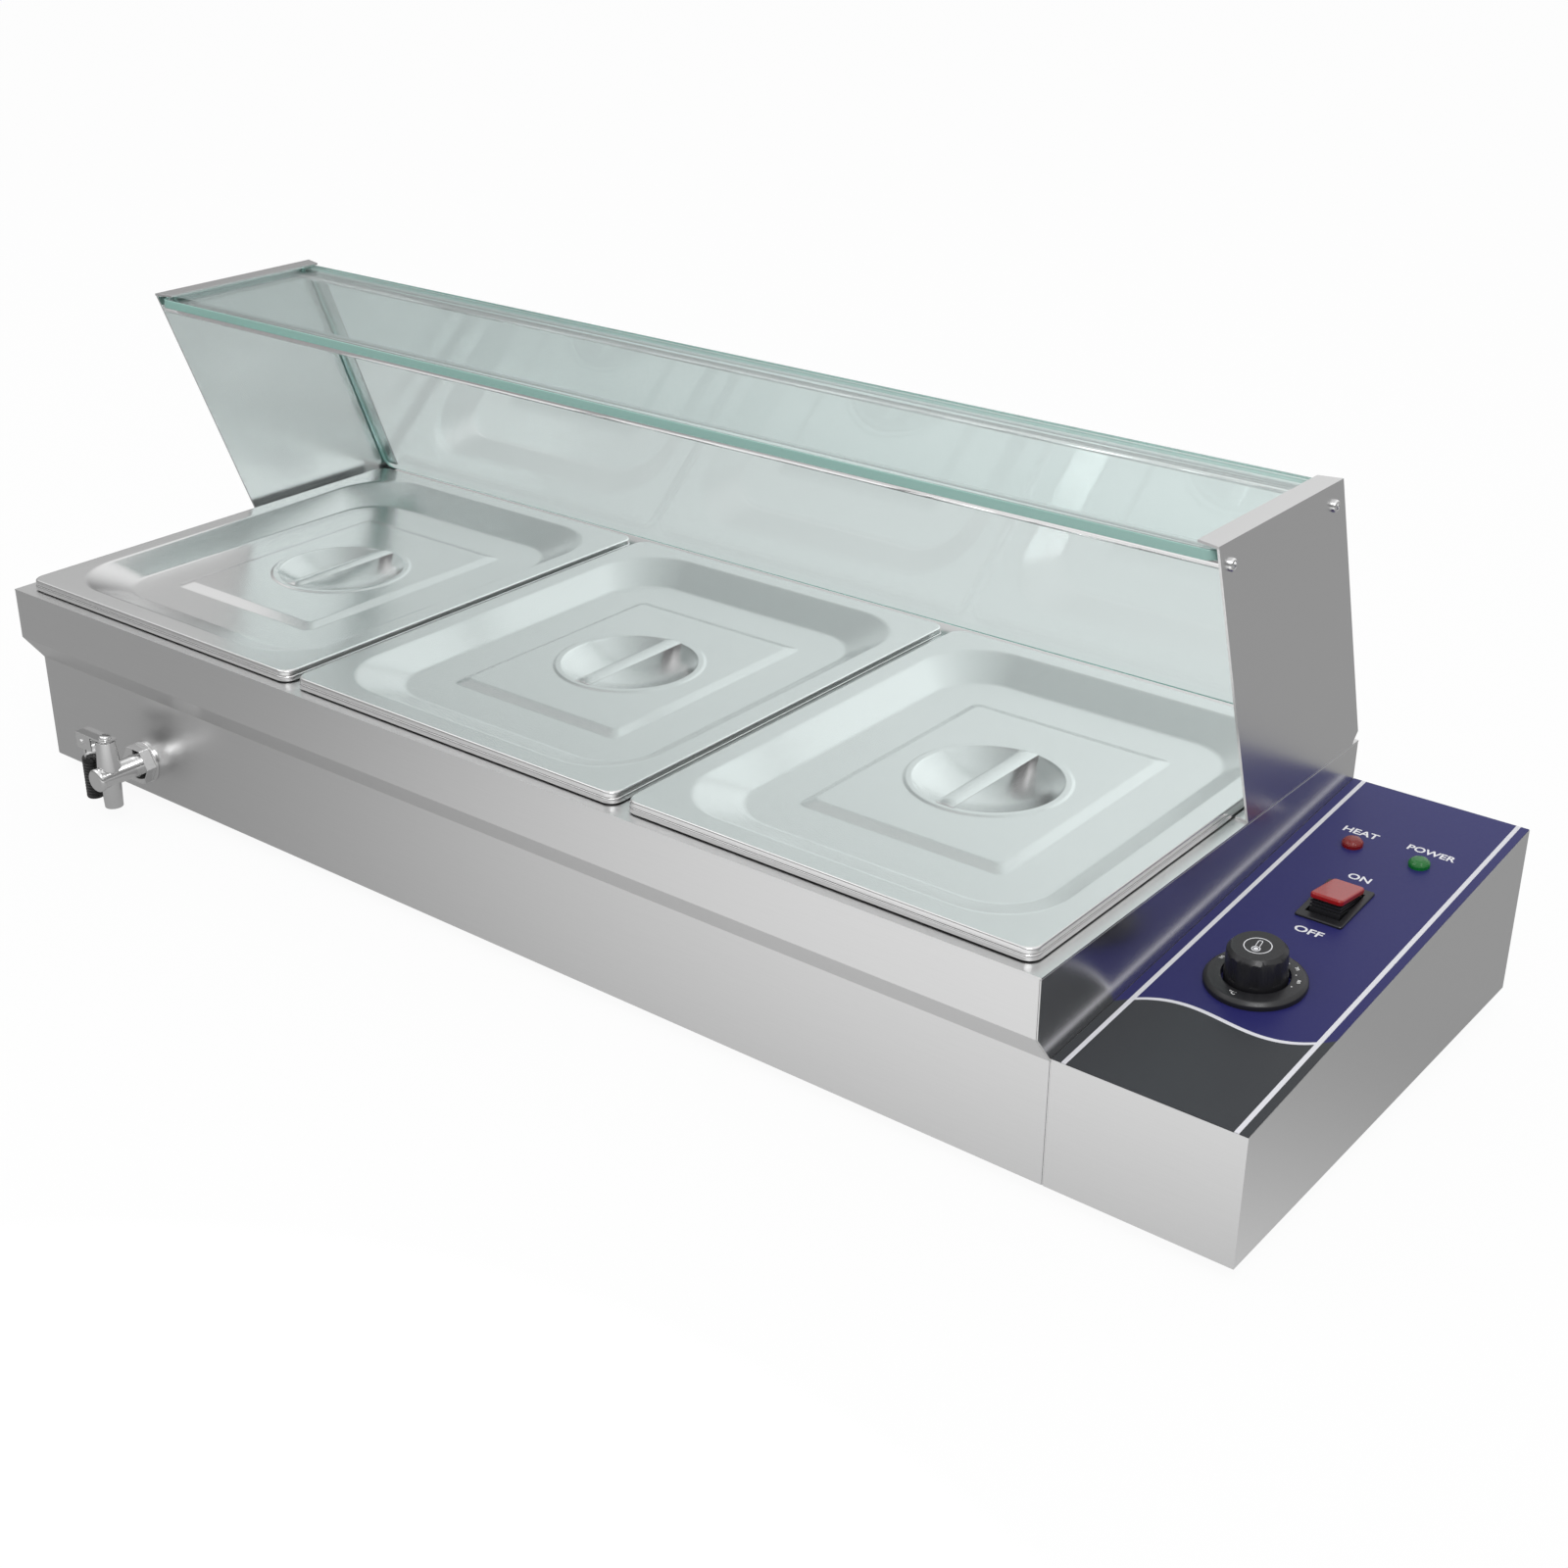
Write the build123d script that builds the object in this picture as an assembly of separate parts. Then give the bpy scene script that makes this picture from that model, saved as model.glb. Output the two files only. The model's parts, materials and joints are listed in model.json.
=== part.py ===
"""Countertop electric buffet server: three lidded pans over a heated water well.

Millimetres. X runs along the front, +Y runs to the rear, +Z is up. The origin lies on the
table plane, under the middle of the overall footprint from the tap to the cable gland.
"""
import os
from math import atan2, cos, degrees, hypot, pi, radians, sin, tan

from build123d import *

# ---- overall body -------------------------------------------------------------------
pan_count = 3
pan_w = 271.0           # half-size pan over its rolled rim, across
pan_l = 331.0           # half-size pan over its rolled rim, front to rear
pan_space = 8.0         # free gap between two rims
pan_end_gap = 9.5       # outer rims to the ends of the pan section
pan_front_gap = 7.5     # band face to the front of the pan rims
pan_rear_gap = 18.5     # rear wall to the rear of the pan rims
nose_d = 15.0           # how far the upper band stands in front of the lower wall
box_w = 110.0           # width of the control box at the right-hand end

pan_pitch = pan_w + pan_space
well_w = pan_count * pan_w + (pan_count - 1) * pan_space + 2 * pan_end_gap
body_d = pan_front_gap + pan_l + pan_rear_gap - nose_d
body_h = 132.0          # lower edge of the casing to the top of the deck
band_h = 36.0           # upright upper band of the front wall
nose_h = 20.0           # height of the slope under the band
foot_h = 10.0           # table to the lower edge of the casing
sheet = 1.0             # casing sheet
flange = 14.0           # inward flanges along the lower edges
gap = 0.5               # free gap between neighbouring fixed sheets

screw_r = 2.0           # shank of every casing and rod screw
screw_head_r = 3.75
screw_head_h = 2.4
barrel_end = 38.5       # lower front wall to the end of the tap barrel
end_cap_l = 4.0
gland_hex = 6.0         # hexagon of the cable gland outside the rear wall
gland_dome = 12.0

tap_reach = barrel_end + end_cap_l
gland_reach = gland_hex + gland_dome
left_x = screw_head_h - (screw_head_h + well_w + box_w) / 2
well_x = left_x + well_w
right_x = well_x + box_w
front_y = tap_reach - (tap_reach + body_d + gland_reach) / 2
rear_y = front_y + body_d
nose_y = front_y - nose_d
low_z = foot_h
deck_z = low_z + body_h
slope_z = deck_z - band_h

# ---- pans and lids ------------------------------------------------------------------
rim_w = 14.7            # flat rim around the pan mouth
rim_r = 8.0             # outer corner radius of the rim
rim_h = 4.2             # turned-down lip, deck to top of rim
pan_t = 1.0
pan_drop = 64.0         # deck level to the underside of the pan
pan_taper = 5.0         # degrees
mouth_r = 42.0          # corner radius of the pan mouth
pan_gap = 1.5           # pan wall to deck opening

lid_rise = 3.8          # pan rim to the top face of the lid flange
lid_t = 1.0
lid_inset = 0.5         # lid outline inside the pan outline
lid_mouth = 14.7        # lid edge to the upper edge of the sunken part
lid_mouth_r = 44.0
lid_floor_x = 35.4      # lid edge to the flat floor, across
lid_floor_y = 41.8      # lid edge to the flat floor, front to rear
lid_floor_r = 34.0
lid_depth = 11.3
plate_base = (140.0, 184.0)
plate_top = (127.0, 167.0)
plate_h = 2.4
bead_r_out = 50.0
bead_r_in = 43.0
bead_h = 0.8
bead_flank = 1.6
dish_depth = 14.0
grip_w = 12.0           # bar across the dish
grip_l = 90.0
grip_t = 1.2
grip_crown = 0.9

pan_mid_y = nose_y + pan_front_gap + pan_l / 2
pan_x = [left_x + well_w / 2 + (i - (pan_count - 1) / 2) * pan_pitch for i in range(pan_count)]
rim_z = deck_z + rim_h
lid_z = rim_z + lid_rise

# ---- water well ---------------------------------------------------------------------
well_end_gap = 14.0     # end plate to well wall
well_front_gap = 0.7    # inner face of the front wall to the well wall
well_rear_gap = 15.0
well_floor = 12.0       # casing edge to the underside of the well

tank_x0 = left_x + well_end_gap
tank_x1 = well_x - well_end_gap
tank_y0 = front_y + sheet + well_front_gap
tank_y1 = rear_y - sheet - well_rear_gap
tank_z = low_z + well_floor
water_z = tank_z + sheet

# ---- heater, bulb and cut-out -------------------------------------------------------
coil_r = 4.0
coil_z = water_z + 17.0
coil_half = 65.0        # half the distance between the two legs
coil_mid_y = front_y + 165.0
coil_end_x = tank_x0 + 50.0
coil_tail = 12.0        # cold end outside the well wall
gland_thread_r = 6.0
gland_flange_r = 9.0
gland_nut_af = 17.0
fit_gap = 0.05          # radial clearance of turning fits
hole_gap = 0.1          # radial clearance of fixed fits
bulb_r = 3.0
bulb_l = 90.0
capillary_r = 1.0
cutout_r = 12.0

# ---- control box --------------------------------------------------------------------
box_front_h = 77.7      # casing edge to the panel at the front
box_rear_h = 106.2      # casing edge to the panel at the rear
overlay_t = 0.5

slope = atan2(box_rear_h - box_front_h, body_d)
panel = Plane(
    origin=(well_x, front_y, low_z + box_front_h),
    x_dir=(1, 0, 0),
    z_dir=(0, -sin(slope), cos(slope)),
)
panel_l = hypot(body_d, box_rear_h - box_front_h)
knob_at = (52.0, 117.5)
switch_at = (53.3, 208.0)
heat_at = (33.4, 271.5)
power_at = (74.1, 271.5)

dial_r = 27.5
dial_h = 5.0
knob_r = 17.0
knob_top = 23.0
shaft_r = 3.0
bezel = (28.0, 43.0)
bezel_h = 2.0
switch_core = (24.0, 36.0)
pocket = (20.6, 32.0)
rocker = (18.0, 28.0)
cap_size = (19.6, 32.0)
cap_t = 3.2
rocker_rise = 7.6       # pivot to the underside of the cap
pivot_w = -1.3          # pivot axis, measured from the panel face
rocker_tilt = 13.0
pivot_r = 1.5
lamp_r = 6.2
lamp_core_r = 5.0

# ---- glass shield -------------------------------------------------------------------
shield_l = 142.0        # foot of a side panel, front to rear
shield_h = 181.5
shield_lean = 68.5      # forward shift of the top
shield_t = 1.5
shield_lip = 14.0       # inward top and rear lips of the side panels
shield_sole = 8.5       # inward lip on the deck, short of the pan rims
shield_cut = 7.0        # clipped rear lower corner
shield_mitre = 3.5
glass_t = 6.0
glass_corner = 8.0
glass_side_gap = 0.8
rod_r = 4.0
rod_z = deck_z + 168.0
front_rod_in = 10.0     # front edge of a side panel to the front rod axis
rear_rod_in = 13.6      # rear edge of a side panel to the rear rod axis
pad_t = 3.0
stud_r = 2.0
stud_l = 9.0

# ---- drain tap ----------------------------------------------------------------------
tap_x = left_x + 107.0
tap_z = low_z + 24.5
tap_axis = 30.0         # front wall to the axis of the plug
barrel_r = 7.6
end_cap_r = 8.4
shank_r = 8.0
plug_r = 5.5
bonnet_top = 26.5       # barrel axis to the top of the bonnet
bonnet_foot = 6.0       # barrel axis to the foot of the bonnet
bonnet_r = (8.3, 6.5)
neck_r = 7.0
spout_l = 23.0
spout_r = (7.2, 6.3)
spout_bore = 4.5
lever_reach = 26.0
lever_w = 11.0
lever_t = 1.3
lever_h = 11.5
grip_arm = 20.6         # plug axis to the axis of the black grip
sleeve_r = 6.0
sleeve_top = 9.0        # above the barrel axis
sleeve_l = 31.0


def block(x0, x1, y0, y1, z0, z1):
    """Axis-aligned box between two corners."""
    size = Box(x1 - x0, y1 - y0, z1 - z0)
    return Pos((x0 + x1) / 2, (y0 + y1) / 2, (z0 + z1) / 2) * size


def rod(radius, start, end, direction):
    """Cylinder along +X, +Y or +Z, given as (x, y, z) of its axis and its two ends."""
    length = end - start
    body = Cylinder(radius, length, align=(Align.CENTER, Align.CENTER, Align.MIN))
    x, y, z = direction[1]
    if direction[0] == "x":
        return Pos(start, y, z) * Rot(0, 90, 0) * body
    if direction[0] == "y":
        return Pos(x, start, z) * Rot(-90, 0, 0) * body
    return Pos(x, y, start) * body


def along_x(radius, x0, x1, y, z):
    """Cylinder along X."""
    return rod(radius, x0, x1, ("x", (0, y, z)))


def along_y(radius, y0, y1, x, z):
    """Cylinder along Y."""
    return rod(radius, y0, y1, ("y", (x, 0, z)))


def along_z(radius, z0, z1, x, y):
    """Cylinder along Z."""
    return rod(radius, z0, z1, ("z", (x, y, 0)))


def side_plate(points, x0, x1):
    """Flat plate in the YZ plane, between two X values."""
    face = make_face(Polyline(*points, close=True))
    profile = Plane(origin=(x0, 0, 0), x_dir=(0, 1, 0), z_dir=(1, 0, 0)) * face
    return extrude(profile, amount=x1 - x0, dir=(1, 0, 0))


def strip_outline(path, thickness):
    """Outline of a bent strip: the path and its mitred offset to the right."""
    offset = []
    for i, (a, b) in enumerate(path):
        turns = []
        if i > 0:
            turns.append((a - path[i - 1][0], b - path[i - 1][1]))
        if i < len(path) - 1:
            turns.append((path[i + 1][0] - a, path[i + 1][1] - b))
        normals = [(d[1] / hypot(*d), -d[0] / hypot(*d)) for d in turns]
        if len(normals) == 1:
            n = normals[0]
            offset.append((a + n[0] * thickness, b + n[1] * thickness))
            continue
        p, q = normals
        scale = thickness / (1 + p[0] * q[0] + p[1] * q[1])
        offset.append((a + (p[0] + q[0]) * scale, b + (p[1] + q[1]) * scale))
    return list(path) + offset[::-1]


def round_slab(width, length, height, radius, z, x=0.0, y=0.0):
    """Upright slab with rounded corners, standing on height z."""
    return Pos(x, y, z) * extrude(RectangleRounded(width, length, radius), amount=height)


def frustum(low, low_z_at, high, high_z_at, x, y):
    """Ruled body between two rounded rectangles, each given as (width, length, radius)."""
    bottom = Pos(x, y, low_z_at) * RectangleRounded(*low)
    top = Pos(x, y, high_z_at) * RectangleRounded(*high)
    return loft([bottom, top], ruled=True)


def hex_prism(across_flats, height):
    """Hexagonal prism standing on the XY plane with two flats facing +-Y."""
    corner = across_flats / 2 / cos(pi / 6)
    return extrude(RegularPolygon(corner, 6, rotation=0), amount=height)


def pan_head(x, y, z, shank):
    """Pan-head screw pushed upwards: head below z, shank above it."""
    head = along_z(screw_head_r, z - screw_head_h, z, x, y)
    head = fillet(head.edges().sort_by(Axis.Z)[0], 1.0)
    return head + along_z(screw_r, z, z + shank, x, y)


def on_panel(part):
    """Move a part from panel coordinates (u, v, height) to its place."""
    return panel * part


# ---- casing ---------------------------------------------------------------------------
front_path = [
    (front_y + flange, low_z),
    (front_y, low_z),
    (front_y, slope_z - nose_h),
    (nose_y, slope_z),
    (nose_y, deck_z - sheet),
]
rear_path = [
    (rear_y, deck_z - sheet),
    (rear_y, low_z),
    (rear_y - flange, low_z),
]
end_outline = [
    (front_y, low_z),
    (rear_y, low_z),
    (rear_y, deck_z - sheet),
    (nose_y, deck_z - sheet),
    (nose_y, slope_z),
    (front_y, slope_z - nose_h),
]
inner_x0 = left_x + sheet
inner_x1 = well_x - sheet
casing_front = side_plate(strip_outline(front_path, sheet), inner_x0, inner_x1)
casing_rear = side_plate(strip_outline(rear_path, sheet), inner_x0, inner_x1)
end_plate_left = side_plate(end_outline, left_x, inner_x0)
end_plate_right = side_plate(end_outline, inner_x1, well_x)

mouth_w = pan_w - 2 * rim_w
mouth_l = pan_l - 2 * rim_w
cut_w = mouth_w + 2 * (pan_t + pan_gap)
cut_l = mouth_l + 2 * (pan_t + pan_gap)
cut_r = mouth_r + pan_t + pan_gap
deck = block(left_x, well_x, nose_y, rear_y, deck_z - sheet, deck_z)
for x in pan_x:
    deck -= round_slab(cut_w, cut_l, 3 * sheet, cut_r, deck_z - 2 * sheet, x, pan_mid_y)

tank_in = (tank_x0 + sheet, tank_x1 - sheet, tank_y0 + sheet, tank_y1 - sheet)
water_tank = block(tank_x0, tank_x1, tank_y0, tank_y1, tank_z, deck_z - sheet)
water_tank -= block(*tank_in, water_z, deck_z)

plate_lo = low_z + sheet
plate_hi = plate_lo + sheet
base_plate = block(
    inner_x0 + gap,
    inner_x1 - gap,
    front_y + sheet + gap,
    rear_y - sheet - gap,
    plate_lo,
    plate_hi,
)

# ---- feet: push-in rubber feet in four holes of the base plate -------------------------
foot_r = 15.0
foot_stem_r = 4.0
foot_inset_x = 45.0
foot_inset_y = 40.0
foot_xy = [
    (x, y)
    for x in (left_x + foot_inset_x, well_x - foot_inset_x)
    for y in (front_y + foot_inset_y, rear_y - foot_inset_y)
]
foot_list = []
for x, y in foot_xy:
    cone = Cone(foot_r - 2, foot_r, plate_lo, align=(Align.CENTER, Align.CENTER, Align.MIN))
    foot = Pos(x, y, 0) * cone
    foot += along_z(foot_stem_r, plate_lo, plate_hi, x, y)
    bulb = Cone(foot_stem_r + 1.5, foot_stem_r - 1, 5, align=(Align.CENTER, Align.CENTER, Align.MIN))
    foot += Pos(x, y, plate_hi) * bulb
    foot_list.append(foot)
    base_plate -= along_z(foot_stem_r + hole_gap, low_z, plate_hi + 1, x, y)
feet = Compound(children=foot_list)

# ---- control box ------------------------------------------------------------------------
box_outline = [
    (front_y, low_z),
    (rear_y, low_z),
    (rear_y, low_z + box_rear_h),
    (front_y, low_z + box_front_h),
]
roof_gap = sheet / cos(slope)
roof_rise = tan(slope) * sheet
box_hollow = [
    (front_y + sheet, low_z - 1),
    (rear_y - sheet, low_z - 1),
    (rear_y - sheet, low_z + box_rear_h - roof_gap - roof_rise),
    (front_y + sheet, low_z + box_front_h - roof_gap + roof_rise),
]
box_in_x = right_x - sheet
control_box = side_plate(box_outline, well_x, right_x)
control_box -= side_plate(box_hollow, well_x - 1, box_in_x)
box_lip = block(well_x, right_x, front_y, rear_y, low_z, plate_lo)
box_lip -= block(well_x - 1, right_x - flange, front_y + flange, rear_y - flange, 0, deck_z)
control_box += box_lip
box_base = block(
    well_x + gap,
    box_in_x - gap,
    front_y + sheet + gap,
    rear_y - sheet - gap,
    plate_lo,
    plate_hi,
)
vent_pitch = 12.0
vent_size = (50.0, 4.0)
for i in range(6):
    vent = extrude(SlotOverall(*vent_size), amount=4 * sheet)
    box_base -= Pos((well_x + right_x) / 2, front_y + 120 + i * vent_pitch, low_z) * vent
panel_overlay = on_panel(Pos(box_w / 2, panel_l / 2, 0) * extrude(
    Rectangle(box_w - gap, panel_l - gap), amount=overlay_t))

# ---- base screws through the lower flanges ------------------------------------------------
screw_x = [left_x + 60, left_x + well_w / 2, well_x - 60]
box_screw_x = [well_x + 25, right_x - 25]
screw_y = [front_y + flange / 2, rear_y - flange / 2]
screw_list = []
for x in screw_x + box_screw_x:
    for y in screw_y:
        screw_list.append(pan_head(x, y, low_z, 6.0))
        hole = along_z(screw_r + hole_gap, low_z - 1, plate_hi + 1, x, y)
        if x < well_x:
            base_plate -= hole
            casing_front -= hole
            casing_rear -= hole
        else:
            box_base -= hole
            control_box -= hole
base_screws = Compound(children=screw_list)

# ---- thermostat, dial and knob ---------------------------------------------------------------
bush_r = 5.0
ku, kv = knob_at
knob_place = Pos(ku, kv, 0)
thermostat_body = Pos(0, 0, -2) * Box(38, 30, 18, align=(Align.CENTER, Align.CENTER, Align.MAX))
thermostat_body += Pos(0, 0, -2) * Cylinder(11, 1, align=(Align.CENTER, Align.CENTER, Align.MIN))
thermostat_body += Pos(0, 0, -1) * Cylinder(bush_r, 4, align=(Align.CENTER, Align.CENTER, Align.MIN))
thermostat_body -= Pos(0, 0, -9) * Cylinder(
    shaft_r + fit_gap, 20, align=(Align.CENTER, Align.CENTER, Align.MIN))
thermostat_body = on_panel(knob_place * thermostat_body)
bush_hole = on_panel(knob_place * Cylinder(bush_r + hole_gap, 8))
control_box -= bush_hole
panel_overlay -= bush_hole

thermostat_shaft = Cylinder(shaft_r, 26, align=(Align.CENTER, Align.CENTER, Align.MIN))
shaft_flat = Pos(0, shaft_r, 20) * Box(8, 2, 14)
thermostat_shaft = on_panel(knob_place * Pos(0, 0, -8.5) * (thermostat_shaft - shaft_flat))

dial_profile = [
    (knob_r + 1.2, overlay_t),
    (dial_r, overlay_t),
    (dial_r, dial_h - 2),
    (dial_r - 2.2, dial_h),
    (knob_r + 1.2, dial_h + 0.6),
]
dial_face = Plane.XZ * make_face(Polyline(*dial_profile, close=True))
scale_ring = on_panel(knob_place * revolve(dial_face, Axis.Z))

knob_low = overlay_t + 2.4
knob_profile = [
    (0, knob_low + 6),
    (5, knob_low + 6),
    (5, knob_low + 1),
    (7, knob_low + 1),
    (7, knob_low + 10),
    (knob_r - 2, knob_low + 10),
    (knob_r - 2, knob_low),
    (knob_r, knob_low),
    (knob_r - 0.8, knob_top - 2.5),
    (knob_r - 3, knob_top),
    (0, knob_top),
]
knob_face = Plane.XZ * make_face(Polyline(*knob_profile, close=True))
knob = revolve(knob_face, Axis.Z)
flute_r = 9.0
for i in range(8):
    angle = 45 * i + 22.5
    flute = Pos(knob_r + flute_r - 1.0, 0, dial_h + 2.2) * Cylinder(
        flute_r, knob_top, align=(Align.CENTER, Align.CENTER, Align.MIN))
    knob -= Rot(0, 0, angle) * flute
hub = Cylinder(7, 9, align=(Align.CENTER, Align.CENTER, Align.MIN))
knob += Pos(0, 0, knob_low + 2) * hub
bore = Cylinder(shaft_r + 0.02, 30, align=(Align.CENTER, Align.CENTER, Align.MAX))
knob -= Pos(0, 0, knob_low + 15) * bore
key = Pos(0, shaft_r - 0.95 + 1.0, knob_low + 12) * Box(6, 1.86, 5)
key &= Pos(0, 0, knob_low) * Cylinder(shaft_r + 0.5, 20, align=(Align.CENTER, Align.CENTER, Align.MIN))
knob += key
knob = on_panel(knob_place * knob)

# ---- rocker switch -----------------------------------------------------------------------------
su, sv = switch_at
switch_place = Pos(su, sv, 0)
core_drop = 22.0
switch_body = Pos(0, 0, overlay_t) * extrude(RectangleRounded(*bezel, 1.5), amount=bezel_h - overlay_t)
switch_body = chamfer(switch_body.faces().sort_by(Axis.Z)[-1].edges(), 0.5)
switch_body += Pos(0, 0, overlay_t) * Box(
    *switch_core, core_drop, align=(Align.CENTER, Align.CENTER, Align.MAX))
switch_body -= Pos(0, 0, bezel_h + 1) * Box(*pocket, 13, align=(Align.CENTER, Align.CENTER, Align.MAX))
pin_hole = Pos(0, 0, pivot_w) * Rot(0, 90, 0) * Cylinder(pivot_r + fit_gap, rocker[0] + 6)
switch_body -= pin_hole
for i in (-1, 0, 1):
    switch_body += Pos(0, i * 11, overlay_t - core_drop) * Box(
        6.3, 0.8, 10, align=(Align.CENTER, Align.CENTER, Align.MAX))
core_hole = Box(switch_core[0] + 2 * hole_gap, switch_core[1] + 2 * hole_gap, 8)
control_box -= on_panel(switch_place * core_hole)
panel_overlay -= on_panel(switch_place * core_hole)
switch_body = on_panel(switch_place * switch_body)

tilt = Pos(0, 0, pivot_w) * Rot(-rocker_tilt, 0, 0)
switch_rocker = Box(rocker[0], rocker[1], rocker_rise + 5, align=(Align.CENTER, Align.CENTER, Align.MAX))
switch_rocker = Pos(0, 0, rocker_rise) * switch_rocker
rib = 0.7
for i in range(3):
    level = rocker_rise - 1.2 - 2.0 * i
    groove = Box(rocker[0] + 2, rocker[1] + 2, rib) - Box(rocker[0] - 1.6, rocker[1] - 1.6, rib)
    switch_rocker -= Pos(0, 0, level) * groove
switch_rocker += Rot(0, 90, 0) * Cylinder(pivot_r, rocker[0] + 4.6)
switch_rocker = on_panel(switch_place * tilt * switch_rocker)
switch_cap = extrude(RectangleRounded(*cap_size, 3.0), amount=cap_t)
switch_cap = fillet(switch_cap.faces().sort_by(Axis.Z)[-1].edges(), 1.4)
switch_cap = on_panel(switch_place * tilt * Pos(0, 0, rocker_rise) * switch_cap)

# ---- pilot lamps ------------------------------------------------------------------------------
lens_profile = [
    (0, overlay_t),
    (lamp_r, overlay_t),
    (lamp_r, 2.6),
    (lamp_r - 1.4, 4.4),
    (0, 5.0),
]
lens_face = Plane.XZ * make_face(Polyline(*lens_profile, close=True))
lens = revolve(lens_face, Axis.Z)
lamp_core = Cylinder(lamp_core_r, 16, align=(Align.CENTER, Align.CENTER, Align.MAX))
lamp_core = Pos(0, 0, overlay_t) * lamp_core
lamp_core += Pos(0, 0, -1) * Cylinder(lamp_core_r + 2, 2.5, align=(Align.CENTER, Align.CENTER, Align.MAX))
for side in (-1, 1):
    lamp_core += Pos(side * 2, 0, overlay_t - 16) * Box(
        0.8, 3, 7, align=(Align.CENTER, Align.CENTER, Align.MAX))
lamp_parts = []
for u, v in (heat_at, power_at):
    place = Pos(u, v, 0)
    lamp_parts.append((on_panel(place * lens), on_panel(place * lamp_core)))
    lamp_hole = on_panel(place * Cylinder(lamp_core_r + hole_gap, 6))
    control_box -= lamp_hole
    panel_overlay -= lamp_hole
heat_lens, heat_lamp = lamp_parts[0]
power_lens, power_lamp = lamp_parts[1]

# ---- heating element and its glands ------------------------------------------------------------
leg_y = (coil_mid_y - coil_half, coil_mid_y + coil_half)
coil_x1 = tank_x1 + coil_tail
bend_x = coil_end_x + coil_half
coil_path = Polyline((coil_x1, leg_y[0], coil_z), (bend_x, leg_y[0], coil_z))
coil_path += ThreePointArc(
    (bend_x, leg_y[0], coil_z), (coil_end_x, coil_mid_y, coil_z), (bend_x, leg_y[1], coil_z))
coil_path += Polyline((bend_x, leg_y[1], coil_z), (coil_x1, leg_y[1], coil_z))
coil_section = Plane(origin=(coil_x1, leg_y[0], coil_z), z_dir=(-1, 0, 0)) * Circle(coil_r)
heating_element = sweep(coil_section, path=coil_path)
for y in leg_y:
    heating_element += along_x(1.8, coil_x1 - 1, coil_x1 + 12, y, coil_z)

gland_list = []
for y in leg_y:
    stem = along_x(gland_flange_r, tank_x1 - sheet - 2, tank_x1 - sheet, y, coil_z)
    stem += along_x(gland_thread_r, tank_x1 - sheet, tank_x1 + 9, y, coil_z)
    stem -= along_x(coil_r + fit_gap, tank_x1 - 6, tank_x1 + 12, y, coil_z)
    nut = Pos(tank_x1, y, coil_z) * Rot(0, 90, 0) * hex_prism(gland_nut_af, 6)
    nut -= along_x(gland_thread_r, tank_x1 - 1, tank_x1 + 12, y, coil_z)
    gland_list += [stem, nut]
    water_tank -= along_x(gland_thread_r + hole_gap, tank_x1 - 2, tank_x1 + 1, y, coil_z)
element_glands = Compound(children=gland_list)

clip_list = []
for x in (tank_x0 + 280, tank_x0 + 560):
    clip = block(x - 1, x + 1, leg_y[0] - 12, leg_y[1] + 12, water_z, coil_z + 7)
    clip -= block(x - 2, x + 2, leg_y[0] + 15, leg_y[1] - 15, water_z + 6, coil_z + 8)
    for y in leg_y:
        clip -= along_x(coil_r + fit_gap, x - 2, x + 2, y, coil_z)
    clip_list.append(clip)
element_clips = Compound(children=clip_list)

# ---- thermostat bulb and capillary -----------------------------------------------------------------
bulb_x1 = tank_x1 - 12
bulb_z = coil_z + 2
bulb_y = coil_mid_y
capillary = along_x(bulb_r, bulb_x1 - bulb_l, bulb_x1, bulb_y, bulb_z)
cap_end = panel.from_local_coords((ku - 8, kv, -20))
cap_mid_x = well_x + 12
capillary_path = Line((bulb_x1, bulb_y, bulb_z), (cap_mid_x, bulb_y, bulb_z))
capillary_path += Spline(
    (cap_mid_x, bulb_y, bulb_z),
    (cap_end.X, cap_end.Y, cap_end.Z),
    tangents=((1, 0, 0), (0, -sin(slope), cos(slope))),
)
capillary += sweep(
    Plane(origin=(bulb_x1, bulb_y, bulb_z), z_dir=(1, 0, 0)) * Circle(capillary_r),
    path=capillary_path,
)
capillary_gland = along_x(6, tank_x1 - sheet - 2, tank_x1 - sheet, bulb_y, bulb_z)
capillary_gland += along_x(4, tank_x1 - sheet, tank_x1 + 2, bulb_y, bulb_z)
capillary_gland += Pos(tank_x1, bulb_y, bulb_z) * Rot(0, 90, 0) * hex_prism(12, 6)
capillary_gland -= along_x(capillary_r + fit_gap, tank_x1 - 8, tank_x1 + 12, bulb_y, bulb_z)
water_tank -= along_x(4 + hole_gap, tank_x1 - 2, tank_x1 + 1, bulb_y, bulb_z)

# ---- dry-boil cut-out on the outside of the well --------------------------------------------------------
cutout_y = coil_mid_y + 34
cutout_z = coil_z + 8
dry_boil_cutout = along_x(cutout_r, tank_x1, tank_x1 + 6, cutout_y, cutout_z)
dry_boil_cutout += along_x(cutout_r - 4, tank_x1 + 6, tank_x1 + 11, cutout_y, cutout_z)
for side in (-1, 1):
    dry_boil_cutout += block(
        tank_x1 + 11, tank_x1 + 19, cutout_y + side * 4 - 0.4, cutout_y + side * 4 + 0.4,
        cutout_z - 3, cutout_z + 3)

# ---- opening behind the control box for the heater leads ---------------------------------------------------
lead_window = block(
    inner_x1 - 1, well_x + 1, leg_y[0] - 20, leg_y[1] + 20, coil_z - 14, coil_z + 26)
end_plate_right -= lead_window

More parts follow.
